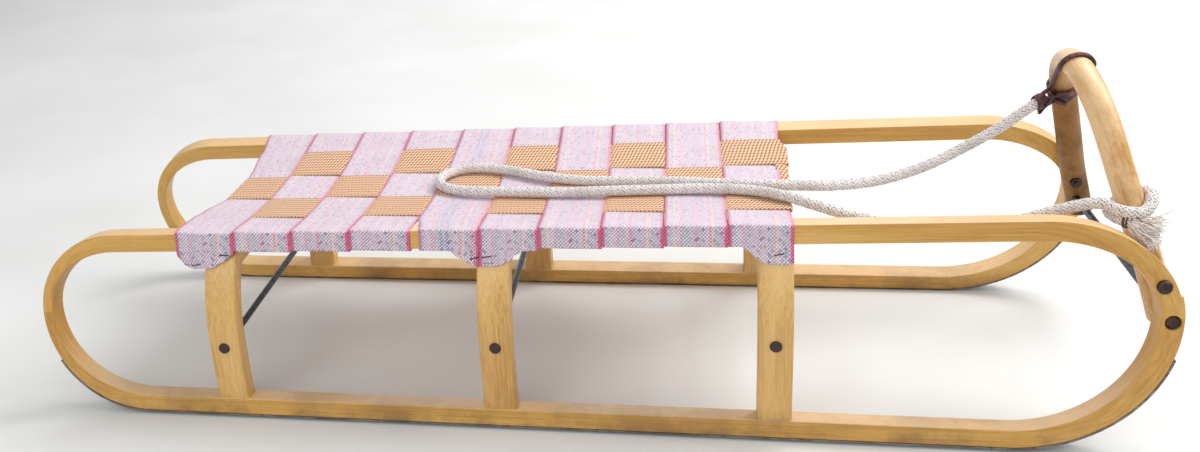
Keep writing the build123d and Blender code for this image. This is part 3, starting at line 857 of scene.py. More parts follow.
class PullRope:
    """The braided pull rope, its knot on the right leg and its frayed end."""

    # Route of the rope from the thong to the knot, in metres, as in the part's source
    route: list[Point] = [
        (0.513, 0.053, 0.292), (0.496, 0.041, 0.2865), (0.469, 0.032, 0.2685), (0.426, 0.018, 0.2485),
        (0.393, 0.005, 0.236), (0.360, -0.008, 0.2285), (0.328, -0.020, 0.225), (0.284, -0.035, 0.227),
        (0.250, -0.042, 0.2305), (0.212, -0.040, 0.230), (0.176, -0.033, 0.2285), (0.110, -0.021, 0.226),
        (0.047, -0.017, 0.2245), (0.008, -0.014, 0.2235), (-0.038, 0.002, 0.2225), (-0.077, 0.022, 0.222),
        (-0.112, 0.032, 0.2215), (-0.138, 0.029, 0.2205), (-0.157, 0.011, 0.220), (-0.158, -0.014, 0.220),
        (-0.142, -0.033, 0.2205), (-0.114, -0.043, 0.222), (-0.076, -0.047, 0.2235), (-0.017, -0.054, 0.2255),
        (0.050, -0.051, 0.227), (0.100, -0.050, 0.228), (0.152, -0.047, 0.229), (0.200, -0.056, 0.231),
        (0.234, -0.082, 0.2355), (0.264, -0.102, 0.233), (0.304, -0.108, 0.222), (0.352, -0.108, 0.212),
        (0.400, -0.108, 0.211), (0.446, -0.109, 0.217), (0.478, -0.111, 0.229), (0.502, -0.113, 0.238),
        (0.521, -0.116, 0.244), (0.532, -0.118, 0.2445),
    ]

    # Turns of the knot: angle round the leg, distance up it, distance from its middle
    knot_turns: tuple = (
        (212, 0.1200, 0.0235), (232, 0.1165, 0.0245), (252, 0.1125, 0.0228), (272, 0.1105, 0.0210),
        (295, 0.1125, 0.0203), (318, 0.1185, 0.0202), (342, 0.1240, 0.0203), (8, 0.1268, 0.0204),
        (36, 0.1270, 0.0206), (66, 0.1258, 0.0207), (96, 0.1240, 0.0207), (126, 0.1215, 0.0207),
        (154, 0.1185, 0.0208), (178, 0.1150, 0.0208), (198, 0.1115, 0.0206), (216, 0.1080, 0.0205),
        (232, 0.1055, 0.0206), (244, 0.1045, 0.0210),
    )

    def __init__(self, cotton: Material, tuft: Material, thread: Material) -> None:
        """Keep the finishes.

        Args:
            cotton: Finish of the rope.
            tuft: Finish of its loose yarns.
            thread: Finish of the thread round its end.
        """
        self.cotton = cotton
        self.tuft = tuft
        self.thread = thread
        self.braid = Braid()

    def stretch(self, name: str, node: str, line: Route, first: int, last: int) -> Piece:
        """Braid one stretch of the line in place of its solid."""
        parts = MeshParts()
        self.braid.add_to(parts, line, first, last)
        piece = parts.piece(name)
        dress(piece, self.cotton)
        seat_on_frame(piece, "rope", node)
        return piece

    def fray(self, end: Vector, ahead: Vector) -> Piece:
        """Open the rope's end into loose yarns that fall over the loop's bend.

        Args:
            end: Where the rope stops.
            ahead: The way it points there.

        Returns:
            The tuft.
        """
        chance = random.Random(7)
        parts = MeshParts()
        course = (ahead * 0.55 + Vector((0.62, -0.10, -0.42))).normalized()
        side = course.orthogonal().normalized()
        up = course.cross(side)
        yarns, joints = 460, 8
        for _ in range(yarns):
            angle = chance.uniform(0, 2 * math.pi)
            spread = chance.uniform(0.0, 1.0) ** 0.6
            outward = swing(side, up, angle)
            start = end + outward * spread * 0.0052 - ahead * chance.uniform(0.001, 0.006)
            reach = chance.uniform(0.013, 0.029)
            lean = outward * spread * chance.uniform(0.30, 0.75)
            droop = Vector((0, 0, -1)) * chance.uniform(0.0, 0.40)
            curl = chance.uniform(0.0008, 0.0030)
            phase = chance.uniform(0, 6.3)
            places = []
            for number in range(joints):
                share = number / (joints - 1)
                bend = side * math.sin(share * 9 + phase) + up * math.cos(share * 7 + phase)
                place = start + (course * share + lean * share**1.3 + droop * share**2) * reach
                places.append(place + bend * curl * share)
            thickness = chance.uniform(0.00045, 0.0009)
            parts.tube(places, [(side, up)] * joints, thickness, thickness, 4)
        tuft = parts.piece("frayed_rope_end")
        dress(tuft, self.tuft)
        seat_on_frame(tuft, "rope")
        return tuft

    def whip(self, line: Route, number: int) -> None:
        """Wind brown thread round the rope close to its end, with two loose tails.

        Args:
            line: Line of the rope.
            number: Place on it where the thread starts.
        """
        parts = MeshParts()
        turns, steps, half_thread = 5, 20, 0.0005
        centre = line.places[number]
        side, up = line.frames[number]
        ahead = side.cross(up)
        places, frames = [], []
        for step in range(turns * steps):
            angle = 2 * math.pi * step / steps
            outward = swing(side, up, angle)
            wander = 0.0010 * math.sin(angle * 0.37)
            along = 0.0014 * step / steps + wander
            places.append(centre + outward * (self.braid.diameter / 2 + 0.0004) + ahead * along)
            frames.append((outward, ahead))
        parts.tube(places, frames, half_thread, half_thread, 6)
        for turn in (0.4, 2.0):
            outward = swing(side, up, turn)
            start = centre + outward * 0.0066 + ahead * 0.004
            tail = []
            for part in (0, 0.3, 0.6, 1):
                reach = ahead * 0.014 + outward * 0.004 - Vector((0, 0, 0.006 * part))
                tail.append(start + reach * part)
            parts.tube(tail, [(side, up)] * 4, half_thread, half_thread, 5)
        thread = parts.piece("rope_end_thread")
        dress(thread, self.thread)
        seat_on_frame(thread, "leather")

    def build(self) -> None:
        """Build rope, knot and frayed end."""
        line = Route("rope_line", [*self.route, *round_leg(-1, list(self.knot_turns))], 0.0026)
        meeting = Vector(self.route[-1])
        split = min(range(len(line.places)), key=lambda number: (line.places[number] - meeting).length)
        last = len(line.places) - 1
        rope = self.stretch("pull_rope", "rope", line, 0, split)
        knot = self.stretch("rope_turns", "rope_knot", line, split, last)
        tuft = self.fray(line.places[last], (line.places[last] - line.places[last - 2]).normalized())
        self.whip(line, last - 3)


class Thong:
    """The leather lace that ties the rope to the left leg and loops over the bow's crown."""

    def __init__(self, leather: Material) -> None:
        """Keep the finish."""
        self.leather = leather

    def lace(self, parts: MeshParts, path: list[tuple[Point, Vector]], half_width: float, half_height: float) -> None:
        """Run a flat lace along a path.

        Args:
            parts: The piece that takes it.
            path: Points of its line, each with the way its flat side faces there.
            half_width: Half of its width.
            half_height: Half of its thickness.
        """
        points, outward = map(list, zip(*path))
        route = Route("lace_line", points, 0.0016)
        frames = []
        for number, place in enumerate(route.places):
            ahead = route.ahead(number)
            nearest = min(range(len(points)), key=lambda index: (Vector(points[index]) - place).length)
            near = [index for index in (nearest - 1, nearest, nearest + 1) if 0 <= index < len(points)]
            weights = [1 / ((Vector(points[index]) - place).length + 0.002) for index in near]
            face = sum((outward[index] * weight for index, weight in zip(near, weights)), Vector((0, 0, 0)))
            up = (face - ahead * face.dot(ahead)).normalized()
            frames.append((up.cross(ahead), up))
        parts.tube(route.places, frames, half_width, half_height, 10)

    def leg_lace(self, parts: MeshParts, turns: list[Point], half_width: float, half_height: float) -> None:
        """Run a lace round the left leg, by rows of angle, distance up the leg and distance from its middle."""
        path = [(point, Vector(point) - leg_point(1, turn[1])[0]) for point, turn in zip(round_leg(1, turns), turns)]
        self.lace(parts, path, half_width, half_height)

    def wraps(self, parts: MeshParts) -> None:
        """Wind the turns that fan out behind the leg and gather ahead of it."""
        spreads = (-0.0115, -0.0060, -0.0010, 0.0035, 0.0048)
        steps = 18
        turns = []
        for number in range((len(spreads) - 1) * steps + 1):
            angle = 20 + 20 * number
            turn = number / steps
            lower = spreads[int(turn)]
            upper = spreads[min(int(turn) + 1, len(spreads) - 1)]
            fan = 0.22 + 0.78 * (0.5 + 0.5 * math.cos(math.radians(angle - 200)))
            spread = lower + (upper - lower) * (turn - int(turn)) * (1 - fan)
            gather = 0.0007 * int(turn) * (1 - fan)
            wobble = 0.0004 * math.sin(number * 1.9)
            turns.append((angle, 0.1890 + spread * fan + wobble, SLED.bow_radius + 0.0019 + gather))
        self.leg_lace(parts, turns, 0.0031, 0.0013)
        knot = [
            (196, 0.1945, 0.0170), (208, 0.1915, 0.0190), (222, 0.1865, 0.0200), (240, 0.1810, 0.0190),
            (264, 0.1770, 0.0168),
        ]
        self.leg_lace(parts, knot, 0.0028, 0.0014)
        cross = [
            (190, 0.1785, 0.0168), (204, 0.1825, 0.0195), (220, 0.1880, 0.0205), (242, 0.1925, 0.0185),
            (268, 0.1945, 0.0165),
        ]
        self.leg_lace(parts, cross, 0.0026, 0.0014)

    def rope_ties(self, parts: MeshParts) -> None:
        """Tie the lace round the rope's end, above it and below it."""
        start = Vector(PullRope.route[0])
        inward = (start - Vector(PullRope.route[1])).normalized()
        over = (Vector((0, 0, 1)) - inward * inward.z).normalized()
        near = inward.cross(over)
        if near.y > 0:
            near = -near

        def ring(turn: float, along: float, radius: float) -> tuple[Point, Vector]:
            """Give a point round the rope's end: turn 0 above, 90 on the near side."""
            away = swing(over, near, math.radians(turn))
            return tuple(start + inward * along + away * radius), away

        coil = [ring(30 * number, -0.0065 + 0.0105 * number / 30, 0.0076) for number in range(31)]
        self.lace(parts, coil, 0.0024, 0.0012)
        upper_leg = round_leg(1, [(196, 0.1925, 0.0178)])[0]
        lower_leg = round_leg(1, [(222, 0.1795, 0.0176)])[0]
        paths = (
            ((upper_leg, over), ring(10, 0.013, 0.0100), ring(15, 0.001, 0.0092), ring(40, -0.007, 0.0090),
             ring(110, -0.009, 0.0088), ring(165, -0.005, 0.0090)),
            ((lower_leg, -over), ring(170, 0.016, 0.0085), ring(175, 0.004, 0.0092), ring(160, -0.004, 0.0100),
             ring(155, -0.008, 0.0112)),
            ((upper_leg, near), ring(60, 0.015, 0.0075), ring(85, 0.004, 0.0098), ring(120, -0.003, 0.0096),
             ring(200, -0.002, 0.0092)),
        )
        for path in paths:
            self.lace(parts, path, 0.0026, 0.0013)

    def crown_loop(self, parts: MeshParts) -> None:
        """Run the lace up from the wraps, over the crown and back down ahead of it."""
        lean = SLED.bow_lean
        up_bow = Vector((-math.sin(lean), 0, math.cos(lean)))
        ahead = Vector((math.cos(lean), 0, math.sin(lean)))
        left = Vector((0, 1, 0))
        centre = Vector((SLED.bow_x, 0, SLED.bow_z)) + up_bow * SLED.crown_up

        def crown(place: float, turn: float, lift: float) -> tuple[Point, Vector]:
            """Give a point on the crown, by degrees round it and degrees round its section."""
            outward = swing(left, up_bow, math.radians(place))
            away = swing(outward, ahead, math.radians(turn))
            return tuple(centre + outward * SLED.crown_radius + away * (SLED.bow_radius + lift)), away

        first = round_leg(1, [(196, 0.1885, 0.0165), (203, 0.1915, 0.0172), (210, 0.1945, 0.0178)])
        faces = [Vector(point) - leg_point(1, 0.193)[0] for point in first]
        points = [(point, face.normalized()) for point, face in zip(first, faces)]
        points += [crown(place, turn, 0.0022) for place, turn in (
            (78, -116), (90, -88), (94, -58), (96, -28), (97, 0), (97, 28), (97, 56), (97, 84), (95, 112), (88, 140))]
        last = round_leg(1, [(350, 0.1990, 0.0176), (15, 0.1935, 0.0170), (45, 0.1900, 0.0160)])
        points += [(point, (Vector(point) - leg_point(1, 0.194)[0]).normalized()) for point in last]
        self.lace(parts, points, 0.0036, 0.0022)

    def build(self) -> None:
        """Build the lacing as one piece."""
        parts = MeshParts()
        self.wraps(parts)
        self.rope_ties(parts)
        self.crown_loop(parts)
        lacing = parts.piece("thong_lacing")
        dress(lacing, self.leather)
        seat_on_frame(lacing, "leather", "thong")


# Woven seat


def smooth_step(value: float) -> float:
    """Ease from 0 to 1."""
    value = min(max(value, 0.0), 1.0)
    return value * value * (3 - 2 * value)


def along_table(table: tuple, value: float) -> float:
    """Read a table of pairs at a value between its places, with eased steps."""
    for (start, low), (end, high) in zip(table, table[1:]):
        if value <= end:
            return low + (high - low) * smooth_step((value - start) / (end - start))
    return table[-1][1]


@dataclass
class WovenSeat:
    """Ten striped cross straps folded over the rails and three tan straps woven through them."""

    striped: list
    tan: Material
    wire: Material
    cloth: float = 0.0015
    cross_wave: float = 0.0009
    long_wave: float = 0.0012
    row_middles: tuple = (-0.069, 0.0, 0.0705)
    row_width: float = 0.0650

    # Hems: half the way between them, spread of the skirts, where these leave the rail, and the tan ends' tuck
    hem_side: float = 0.157
    skirt_turn: float = math.radians(24)
    skirt_knee: float = 0.003
    tuck: float = 0.018

    # How far each border between straps has slid forward at the right rail and at the left one
    right_drift: tuple = (0.0, 0.0, 0.0008, 0.0, 0.0015, 0.0099, 0.0065, 0.0055, 0.0026, 0.0, 0.0)
    left_drift: tuple = (0.0, 0.0, 0.0, 0.0, 0.0030, 0.0050, 0.0, -0.0016, -0.0016, -0.0021, 0.0)

    # The rear edge of the first strap and the front edge of the last, drawn in by the tan straps: place
    # across the sled and distance forward
    rear_edge: tuple = (
        (-0.157, -0.0008), (-0.143, -0.0035), (-0.108, -0.0045), (-0.078, 0.0), (-0.032, 0.0110),
        (0.037, 0.0125), (0.103, 0.0060), (0.160, 0.0),
    )
    front_edge: tuple = (
        (-0.157, -0.0025), (-0.110, -0.0025), (-0.070, -0.0060), (0.060, -0.0045), (0.100, -0.0010), (0.160, 0.0015),
    )

    # Skirts that cover the arches: strap, then place across it and length below the rail
    skirts: tuple = (
        (1, ((0.0, 0.005), (0.1, 0.014), (0.21, 0.017), (0.57, 0.0165), (0.81, 0.010), (0.95, 0.003), (1.0, 0.0015))),
        (5, ((0.0, 0.0015), (0.5, 0.0015), (0.68, 0.008), (0.82, 0.013), (1.0, 0.0165))),
        (6, ((0.0, 0.0168), (0.2, 0.0172), (0.35, 0.016), (0.49, 0.012), (0.6, 0.006), (0.76, 0.0020), (1.0, 0.0015))),
        (10, (
            (0.0, 0.0015), (0.2, 0.0015), (0.33, 0.006), (0.44, 0.0125), (0.56, 0.0165), (0.9, 0.0175), (1.0, 0.0150),
        )),
    )

    # Staples: strap, place across it, distance below the rail and slope
    staple_rows: tuple = (
        (1, 0.37, 0.0140, 0.25), (1, 0.84, 0.0030, 0.0), (5, 0.93, 0.0085, 0.25), (6, 0.13, 0.0085, 0.15),
        (10, 0.77, 0.0085, 0.25),
    )

    def middle(self, number: int) -> float:
        """Place along the sled of a cross strap's middle."""
        return SLED.strap_front_edge + (number - SLED.strap_count - 0.5) * SLED.strap_pitch

    def border(self, number: int, y: float) -> float:
        """Place along the sled of the border between a strap and the next, at a place across it."""
        if number == 0:
            slide = along_table(self.rear_edge, y)
        elif number == SLED.strap_count:
            slide = along_table(self.front_edge, y)
        else:
            share = min(max((y + self.hem_side) / (2 * self.hem_side), 0.0), 1.0)
            slide = self.right_drift[number] + (self.left_drift[number] - self.right_drift[number]) * share
        return SLED.strap_front_edge + (number - SLED.strap_count) * SLED.strap_pitch + slide

    def edges(self, number: int, y: float) -> tuple[float, float]:
        """Rear and front edge of a cross strap at a place across the sled."""
        slit = 0.0001 + 0.0001 * smooth_step((0.148 - abs(y)) / 0.02)
        rear = self.border(number - 1, y) + (slit if number > 1 else 0.0)
        front = self.border(number, y) - (slit if number < SLED.strap_count else 0.0)
        if number == 5:
            rear += 0.0004 + 0.0095 * smooth_step((-0.112 - y) / 0.042)
        return rear, front

    def level(self, x: float, y: float) -> float:
        """Height of the seat's sagging surface, half way through the weave."""
        up = SLED.rail_top(x)
        lean = SLED.loop_lean
        edge = SLED.side(up) - SLED.strip_width * math.cos(lean)
        rim = SLED.height(up) - SLED.strip_width * math.sin(lean) + 0.0010
        return rim - SLED.seat_sag * (1 - min(abs(y) / edge, 1.0) ** 2)

    def over(self, number: int, row: int) -> bool:
        """Whether the tan strap of a row lies over a cross strap."""
        return (number + (1 if row == 1 else 0)) % 2 == 0

    def cross_lift(self, number: int, y: float) -> float:
        """How far a cross strap rises or dips where the tan straps pass it."""
        lift = 0.0
        for row, middle in enumerate(self.row_middles):
            near = 1 - smooth_step((abs(y - middle) - self.row_width / 2 + 0.004) / 0.010)
            lift += (-1 if self.over(number, row) else 1) * self.cross_wave * near
        return lift

    def strap_line(self, number: int, reach: float) -> list[tuple[float, float]]:
        """Give the line of a strap from its hem, over the rail, to the middle of the seat.

        Args:
            number: Number of the strap, 1 at the rear.
            reach: How far its skirt hangs below the rail, or 0 where it turns in under the rail.

        Returns:
            Pairs of half width and height.
        """
        up = SLED.rail_top(self.middle(number))
        lean = SLED.loop_lean
        gap = 0.0009
        bend = 0.0012
        bottom = SLED.rail_thickness

        def corner(down: float, inward: float) -> tuple[float, float]:
            """Give a place on the rail's section, by distances below its top and in from its outer face."""
            side = SLED.side(up) + down * math.sin(lean) - inward * math.cos(lean)
            height = SLED.height(up) - down * math.cos(lean) - inward * math.sin(lean)
            return side, height

        line = []
        if reach > 0:
            knee = corner(bottom - self.skirt_knee, -gap)
            for step in range(12):
                part = reach * (1 - step / 12)
                out, down = part * math.sin(self.skirt_turn), part * math.cos(self.skirt_turn)
                line.append((knee[0] + out, knee[1] - down))
        else:
            hem, run = 0.019, 0.0178
            line += [corner(bottom + gap, hem - run * step / 7) for step in range(8)]
            for degrees in (-67, -45, -22, 0):
                angle = math.radians(degrees)
                down = bottom - bend - (bend + gap) * math.sin(angle)
                line.append(corner(down, bend - (bend + gap) * math.cos(angle)))
        low = bottom - (self.skirt_knee if reach > 0 else bend)
        line += [corner(low + (bend - low) * step / 9, -gap) for step in range(1, 9)]
        for degrees in (0, 22, 45, 67, 90):
            angle = math.radians(degrees)
            line.append(corner(bend - (bend + gap) * math.sin(angle), bend - (bend + gap) * math.cos(angle)))
        line += [corner(-gap, bend + (SLED.strip_width - bend) * step / 6) for step in range(1, 7)]
        edge = line[-1][0]
        count = 40
        for step in range(1, count + 1):
            side = edge * (1 - step / count)
            line.append((side, self.level(self.middle(number), side)))
        return line

    def cross_strap(self, number: int) -> None:
        """Make one striped strap."""
        columns = 24
        skirt = dict(self.skirts).get(number)
        points, uv, lengths = [], [], []
        for column in range(columns + 1):
            share = column / columns
            reach = (along_table(skirt, share) + self.skirt_knee) / math.cos(self.skirt_turn) if skirt else 0.0
            half = self.strap_line(number, reach)
            line = [(-side, height) for side, height in half] + [(side, height) for side, height in reversed(half[:-1])]
            rows = len(line)
            along = 0.0
            foot = SLED.height(SLED.rail_top(self.middle(number))) - SLED.rail_thickness
            for index, (y, z) in enumerate(line):
                if index:
                    along += math.dist(line[index - 1], (y, z))
                z += self.cross_lift(number, y) * smooth_step((0.128 - abs(y)) / 0.02)
                rear, front = self.edges(number, y)
                x = rear + (front - rear) * share
                if number == 1 and z < foot:
                    x += 0.45 * (foot - z) * (1 - share)
                points.append((x, y, z))
                uv.append((share, along))
            uv[-rows:] = [(share, place - along / 2) for share, place in uv[-rows:]]
            lengths.append(along)
        faces = sheet_faces(columns, rows, turned=True)
        strap = mesh_piece(f"striped_strap_{number:02d}", points, faces, uv)
        self.sew(strap, self.cloth, self.striped[number - 1], "striped_webbing", f"cross_strap_{number:02d}")

    def sew(self, piece: Piece, thickness: float, finish: Material, slot: str, *nodes: str) -> None:
        """Make a flat mesh into cloth that rides on the sled.

        Args:
            piece: The flat mesh.
            thickness: Thickness of the cloth, which grows to both sides.
            finish: Its material.
            slot: Material slot of the record.
            nodes: Solids that it stands for.
        """
        take(piece)
        solid = piece.modifiers.new("thickness", "SOLIDIFY")
        solid.thickness = thickness
        solid.offset = 0.0
        bpy.ops.object.modifier_apply(modifier=solid.name)
        dress(piece, finish)
        seat_on_frame(piece, slot, *nodes)

    def long_lift(self, row: int, x: float, y: float) -> float:
        """Height of a tan strap over the seat's middle surface at a place."""
        lift = 0.0
        for number in range(1, SLED.strap_count + 1):
            rear, front = self.edges(number, y)
            near = 1 - smooth_step((abs(x - (rear + front) / 2) - (front - rear) / 2 + 0.005) / 0.010)
            lift += (1 if self.over(number, row) else -1) * self.long_wave * near
        return lift

    def fold_front(self, row: int, y: float) -> float:
        """How far ahead of the last strap's edge a tan strap turns down."""
        far = (y - self.row_middles[row]) / (self.row_width / 2)
        if row == 2:
            return 0.0090 - 0.0095 * smooth_step((far - 0.1) / 0.9)
        return 0.0035 - 0.003 * abs(far) ** 3

    def long_strap(self, row: int, name: str) -> None:
        """Make one tan strap.

        Args:
            row: Number of the row, 0 at the sled's right.
            name: Name of the node that it stands for.
        """
        columns, count = 16, 170
        points, uv, lengths = [], [], []
        for column in range(columns + 1):
            share = column / columns
            y = self.row_middles[row] + (share - 0.5) * self.row_width
            rear = self.border(0, y)
            front = self.border(SLED.strap_count, y)
            line = []
            if self.over(SLED.strap_count, row):
                front += self.fold_front(row, y)
            for step in range(count + 1):
                x = rear + (front - rear) * step / count
                line.append((x, self.long_lift(row, min(x, self.border(SLED.strap_count, y) - 0.012), y)))
            for at_front in (True, False):
                if not self.over(SLED.strap_count if at_front else 1, row):
                    continue
                way, edge = (1, front) if at_front else (-1, rear)
                radius = 0.0019
                fold = []
                for angle in (0.5, 1.0, 1.57, 2.1, 2.7):
                    lift = self.long_wave - radius + radius * math.cos(angle)
                    fold.append((edge + way * radius * math.sin(angle), lift))
                fold += [(edge - way * self.tuck * part / 4, self.long_wave - 2 * radius) for part in range(1, 5)]
                line = line + fold if at_front else list(reversed(fold)) + line
            rows = len(line)
            along = 0.0
            for index, (x, lift) in enumerate(line):
                if index:
                    along += math.dist(line[index - 1], (x, lift))
                wander = 0.0006 * math.sin(x * 47 + row * 2.1)
                puff = 0.0005 * math.sin(share * math.pi) if lift > 0 else 0.0
                points.append((x, y + wander, self.level(min(max(x, rear), front), y) + lift + puff))
                uv.append((share * self.row_width, along))
            lengths.append(along)
        strap = mesh_piece(f"tan_strap_{name}", points, sheet_faces(columns, rows), uv)
        self.sew(strap, self.cloth, self.tan, "tan_webbing", f"long_strap_{name}")

    def front_turn(self) -> None:
        """Make the bight in which the left tan strap turns back to the middle row, ahead of the last strap."""
        start, end = 0.0440, -0.0240
        columns, steps = 14, 14
        thickness, overlap, half_turn = 0.0012, 0.004, 0.0024
        points, uv = [], []
        for column in range(columns + 1):
            share = column / columns
            y = start + (end - start) * share
            edge = self.border(SLED.strap_count, y)
            bulge = 0.0080 * (1 - smooth_step((share - 0.45) / 0.55)) + 0.0015
            top = self.level(edge, y) + 0.0012 * (1 - 2.2 * share)
            around = 0.0
            before = None
            for step in range(steps + 1):
                angle = math.pi * step / steps - math.pi / 2
                forward = edge - overlap + (bulge + overlap) * math.cos(angle)
                place = (forward, y, top - half_turn + half_turn * math.sin(-angle))
                if before is not None:
                    around += math.dist(before, place)
                before = place
                points.append(place)
                uv.append((y - end, around))
        turn = mesh_piece("tan_front_turn", points, sheet_faces(columns, steps + 1), uv)
        self.sew(turn, thickness, self.tan, "tan_webbing")

    def staple(self, middle: Point, side: int, slope: float) -> Piece:
        """Drive one staple, a wire whose ends turn into the cloth.

        Args:
            middle: Middle of the wire.
            side: 1 on the left loop, -1 on the right one.
            slope: Rise of the wire towards the sled's front, in radians.

        Returns:
            The wire.
        """
        deselect()
        half_wire, crown, bend, bite = 0.0006, 0.0102, 0.0004, 0.0020
        lie = (0.0, math.pi / 2 - slope, 0.0)
        bpy.ops.mesh.primitive_cylinder_add(
            vertices=8, radius=half_wire, depth=crown, location=middle, rotation=lie
        )
        wire = bpy.context.object
        bpy.ops.object.transform_apply(location=True, rotation=True, scale=True)
        for way in (-1, 1):
            bpy.ops.object.mode_set(mode="EDIT")
            bpy.ops.mesh.select_mode(type="FACE")
            bpy.ops.mesh.select_all(action="DESELECT")
            bpy.ops.object.mode_set(mode="OBJECT")
            for polygon in wire.data.polygons:
                polygon.select = polygon.normal.x * way > 0.9
            bpy.ops.object.mode_set(mode="EDIT")
            bpy.ops.mesh.extrude_region_move(TRANSFORM_OT_translate={"value": (bend * way, -bite * side, 0.0)})
            bpy.ops.object.mode_set(mode="OBJECT")
        return wire

    def staples(self) -> None:
        """Drive the wire staples that hold the skirts."""
        turn = self.skirt_turn
        wires = []
        for number, share, below, slope in self.staple_rows:
            knee = self.strap_line(number, 0.001)[11]
            for side in (-1, 1):
                y = side * (knee[0] + (below + self.skirt_knee) * math.sin(turn) + 0.0011)
                z = knee[1] - (below + self.skirt_knee) * math.cos(turn)
                rear, front = self.edges(number, y)
                wires.append(self.staple((rear + (front - rear) * share, y, z), side, slope))
        deselect()
        for wire in wires:
            wire.select_set(True)
        bpy.context.view_layer.objects.active = wires[0]
        bpy.ops.object.join()
        wires[0].name = wires[0].data.name = "skirt_staples"
        dress(wires[0], self.wire)
        seat_on_frame(wires[0], "bolt_steel")

    def build(self) -> None:
        """Build the whole seat."""
        for number in range(1, SLED.strap_count + 1):
            self.cross_strap(number)
        for row, name in enumerate(("right", "middle", "left")):
            self.long_strap(row, name)
        self.front_turn()
        self.staples()


# Studio


class Studio:
    """Floor, lights and camera."""

    # Camera fitted to the photograph: place in metres, turns in radians, lens in millimetres
    place: Point = (0.1413, -1.2475, 0.7367)
    yaw: float = -0.2099
    pitch: float = -0.3356
    roll: float = -0.0776
    lens: float = 34.72
    shift: tuple[float, float] = (0.1136, -0.0869)

    # Lamps: name, place, width in metres and power in watts
    lamps: tuple = (
        ("key", (1.2, 0.9, 2.4), 1.2, 35.0),
        ("fill", (-0.7, -2.2, 1.6), 2.0, 24.0),
        ("sheen", (-0.2, 2.7, 1.3), 2.4, 23.0),
        ("ahead", (2.5, 0.1, 2.3), 1.4, 46.0),
    )

    def camera(self) -> None:
        """Set the camera where the photographer stood."""
        sight = bpy.data.cameras.new("camera")
        sight.lens = self.lens
        sight.sensor_width = 36.0
        sight.shift_x, sight.shift_y = self.shift
        sight.clip_start = 0.05
        holder = bpy.data.objects.new("camera", sight)
        bpy.context.collection.objects.link(holder)
        level = Vector((math.sin(self.yaw), math.cos(self.yaw), 0))
        right = Vector((math.cos(self.yaw), -math.sin(self.yaw), 0))
        top = Vector((0, 0, 1))
        ahead = swing(level, top, self.pitch)
        up = top * math.cos(self.pitch) - level * math.sin(self.pitch)
        side = swing(right, up, self.roll)
        rise = up * math.cos(self.roll) - right * math.sin(self.roll)
        turn = Matrix((side, rise, -ahead)).transposed()
        holder.matrix_world = Matrix.Translation(self.place) @ turn.to_4x4()
        bpy.context.scene.camera = holder

    def lamp(self, name: str, place: Point, size: float, power: float) -> None:
        """Hang a soft square lamp that points at the sled."""
        light = bpy.data.lights.new(name, "AREA")
        light.shape = "SQUARE"
        light.size = size
        light.energy = power
        holder = bpy.data.objects.new(name, light)
        bpy.context.collection.objects.link(holder)
        aim = Vector((0, 0, 0.15)) - Vector(place)
        holder.location = place
        holder.rotation_mode = "QUATERNION"
        holder.rotation_quaternion = aim.to_track_quat("-Z", "Y")

    def floor(self) -> None:
        """Lay the plain floor."""
        deselect()
        bpy.ops.mesh.primitive_circle_add(vertices=96, radius=9.0, fill_type="NGON", location=(0, 0, 0))
        ground = bpy.context.active_object
        ground.name = "floor"
        tree = Tree("pale_floor")
        mottle = tree.noise(tree.where(), scale=3.0, detail=2.0)
        colour = tree.ramp(mottle, [(0.3, ink(222, 222, 218)), (0.7, ink(230, 230, 227))])
        dress(ground, tree.finish(colour, 0.9, Specular_IOR_Level=0.1))

    def build(self) -> None:
        """Build the studio."""
        self.camera()
        self.floor()
        for lamp in self.lamps:
            self.lamp(*lamp)
        world = bpy.data.worlds.new("studio")
        world.use_nodes = True
        sky = world.node_tree.nodes["Background"]
        sky.inputs[0].default_value = (0.93, 0.95, 1.0, 1.0)
        sky.inputs[1].default_value = 0.50
        bpy.context.scene.world = world
        bpy.context.scene.view_settings.view_transform = "Standard"


PINK = ink(224, 50, 118)
ROSE = ink(218, 112, 162)
PALE = ink(210, 174, 200)
LILAC = ink(184, 162, 198)
GREY = ink(168, 166, 188)
TEAL = ink(154, 170, 188)
BLUE = ink(92, 92, 180)
YELLOW = ink(232, 206, 158)

# Warp colours across a strap, from its rear edge to its front edge: where each begins, and the colour
PLAIN_STRIPES = (
    (0.0, PINK), (0.045, ROSE), (0.07, TEAL), (0.14, PALE), (0.21, ROSE), (0.25, GREY), (0.34, PALE), (0.44, LILAC),
    (0.50, PALE), (0.60, GREY), (0.70, ROSE), (0.73, YELLOW), (0.76, PALE), (0.82, TEAL), (0.92, ROSE), (0.95, PINK),
)
BOLD_STRIPES = (
    (0.0, PINK), (0.05, GREY), (0.14, PALE), (0.24, ROSE), (0.28, GREY), (0.37, PALE), (0.44, PINK), (0.49, GREY),
    (0.58, LILAC), (0.68, ROSE), (0.71, YELLOW), (0.75, PALE), (0.80, GREY), (0.91, ROSE), (0.94, PINK),
)
BLUE_STRIPES = (
    (0.0, ROSE), (0.04, LILAC), (0.13, PALE), (0.20, ROSE), (0.26, GREY), (0.35, BLUE), (0.40, TEAL), (0.44, BLUE),
    (0.50, GREY), (0.58, PALE), (0.66, ROSE), (0.72, YELLOW), (0.76, GREY), (0.86, ROSE), (0.91, PINK),
)
WARM_STRIPES = (
    (0.0, PINK), (0.05, GREY), (0.14, YELLOW), (0.17, PALE), (0.25, ROSE), (0.28, GREY), (0.40, LILAC), (0.50, ROSE),
    (0.54, GREY), (0.64, PALE), (0.70, PINK), (0.74, YELLOW), (0.78, GREY), (0.90, ROSE), (0.94, PINK),
)


